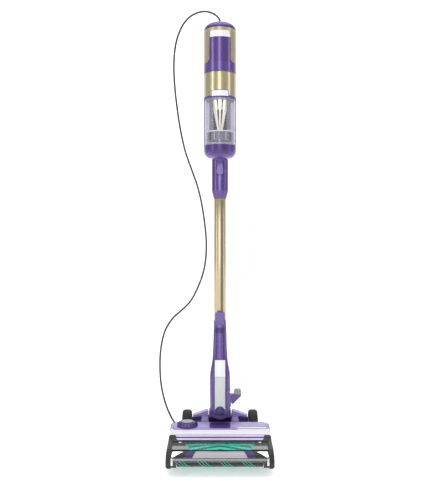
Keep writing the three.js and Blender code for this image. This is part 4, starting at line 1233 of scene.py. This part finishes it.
def hexagon(radius):
    """A six-sided outline about the dial's middle."""
    turns = [math.radians(60 * k) for k in range(6)]
    return [(DIAL_X + radius * math.cos(a), DIAL_Y + radius * math.sin(a)) for a in turns]


def dial():
    """The dial's ring with its grips, and the grey cartridge with its six-sided crown."""
    r, low, inner = (DIAL_HIGH.x - DIAL_LOW.x) / 2, DIAL_Z, 16
    ring = [(inner, low), (r, low), (r, 75.2), (r - 1.6, 77), (r - 4.5, 79.4), (19.5, 81.6), (inner, 81.6)]
    on_dial("dial_ring", revolve(ring, DIAL_X, DIAL_Y, closed=True), MID_PURPLE, replaces=["odour_dial"])
    grip = rounded([(20.5, 76), (r - 0.6, 75.4), (r - 1.2, 78.6), (20.5, 83.2)], 1, 3)
    for i in range(DIAL_GRIPS):
        turn = Matrix.Rotation(2 * math.pi * i / DIAL_GRIPS, 3, "Z")
        shape = moved(slab(grip, "xz", -1.7, 1.7), (DIAL_X, DIAL_Y, 0), turn)
        on_dial(f"dial_grip_{i + 1}", shape, DEEP_PURPLE, bevel=0.4, steps=2)
    crown_shape = slab(rounded(hexagon(CARTRIDGE_R * 1.25), 3, 4), "xy", 81.9, 83.9)
    on_dial("dial_crown", crown_shape, GREY, bevel=0.7)
    cartridge = slab(rounded(hexagon(CARTRIDGE_R), 2.5, 4), "xy", low + 0.1, 82)
    on_dial("dial_cartridge", cartridge, GREY, replaces=["odour_cartridge"], bevel=0.9)


# ---- CAD nodes that stay ------------------------------------------------------------------------
KEPT = {  # the material and the edge rounding that each one gets
    "head_base": (BLACK, 0.6),
    "sole_plate": (BLACK, 0.4),
    "squeegee": (RUBBER, 0.0),
    "brush_motor": (STEEL, 0.8),
    "motor_pulley": (STEEL, 0.3),
    "drive_belt": (RUBBER, 0.0),
    "roller_belt": (RUBBER, 0.0),
    "pitch_pin": (STEEL, 0.5),
    "right_axle": (STEEL, 0.5),
    "left_axle": (STEEL, 0.5),
    "yoke": (DEEP_PURPLE, 1.2),
    "dust_hose": (RUBBER, 0.0),
    "hepa_filter": (PAPER, 0.8),
    "suction_motor": (STEEL, 0.8),
    "impeller": (STEEL, 0.2),
    "premotor_filter": (FOAM, 1.0),
    "lid_release": (BLACK, 0.8),
    "power_button": (GREY, 1.0),
}


def kept_nodes():
    """Gives the CAD nodes that stay their look."""
    for name, (material, bevel) in KEPT.items():
        coat(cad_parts[name], material, bevel, 35, 2)


# ---- Stage --------------------------------------------------------------------------------------
SWEEP = [(-4000, -0.4), (1400, -0.4), (2100, 60), (2500, 500), (2600, 1400), (2600, 5200)]
SWEEP_HALF = 4500
SOFTBOXES = {  # place, target, width, height, power
    "key_strip": ((-0.2, -3.2, 1.3), (0, 0, 0.7), 0.75, 2.6, 26),
    "left_strip": ((-2.0, -1.5, 0.9), (0, 0, 0.6), 0.35, 2.4, 15),
    "right_strip": ((2.3, -1.0, 0.9), (0, 0, 0.6), 0.4, 2.4, 10),
    "overhead": ((0, -0.6, 3.0), (0, 0, 0), 2.2, 1.8, 16),
    "sweep_wash": ((0, 0.4, 3.4), (0, 2.4, 0.9), 4.0, 1.2, 40),
}
AMBIENT = 0.42  # the strength of the world and of the floor's own glow
CAMERA_BACK = 1800  # the camera's distance in front of the wand's axis


def studio_floor():
    """A pale floor that curves up into a wall behind the vacuum."""
    material = bpy.data.materials.new("pale_floor")
    material.use_nodes = True
    shader = material.node_tree.nodes["Principled BSDF"]
    shader.inputs["Base Color"].default_value = (0.93, 0.93, 0.935, 1)
    shader.inputs["Roughness"].default_value = 0.9
    shader.inputs["Emission Color"].default_value = (1, 1, 1, 1)
    shader.inputs["Emission Strength"].default_value = AMBIENT
    curve = flat_spline(SWEEP, per=8)
    verts = [(x, y, z) for y, z in curve for x in (-SWEEP_HALF, SWEEP_HALF)]
    faces = [(2 * i, 2 * i + 1, 2 * i + 3, 2 * i + 2) for i in range(len(curve) - 1)]
    floor = raw("studio_sweep", verts, faces)
    floor.data.materials.append(material)
    for polygon in floor.data.polygons:
        polygon.use_smooth = True


def add_object(name, data, place):
    """Links a light or a camera into the scene at a place."""
    obj = bpy.data.objects.new(name, data)
    bpy.context.scene.collection.objects.link(obj)
    obj.location = place
    return obj


def lighting():
    """The pale world and the softboxes."""
    world = bpy.data.worlds.new("studio")
    bpy.context.scene.world = world
    world.use_nodes = True
    sky = world.node_tree.nodes["Background"]
    sky.inputs["Color"].default_value = (0.95, 0.96, 1.0, 1)
    sky.inputs["Strength"].default_value = AMBIENT
    for name, (place, target, wide, tall, power) in SOFTBOXES.items():
        light = bpy.data.lights.new(name, "AREA")
        light.shape = "RECTANGLE"
        light.size, light.size_y, light.energy = wide, tall, power
        aim = (Vector(target) - Vector(place)).to_track_quat("-Z", "Y")
        add_object(name, light, place).rotation_euler = aim.to_euler()


def camera():
    """A level camera straight in front of the vacuum."""
    lens = bpy.data.cameras.new("camera")
    lens.lens, lens.sensor_width = 50, 36
    view = add_object("camera", lens, (0, (AXIS_Y - CAMERA_BACK) * MM, 0.56))
    view.rotation_euler = (math.pi / 2, 0, 0)
    bpy.context.scene.camera = view
    bpy.context.scene.view_settings.view_transform = "Standard"


studio_floor()
lighting()
camera()
cords()
housing()
crown()
gold_band()
cup()
cyclone()
screen()
cup_lid()
connector()
wand()
duct()
handle()
neck_body()
neck_front()
foot_tab()
hook()
cover()
bezel()
window()
visor()
headlights()
cheeks()
brush()
roller()
carriage()
wheels()
dial()
kept_nodes()
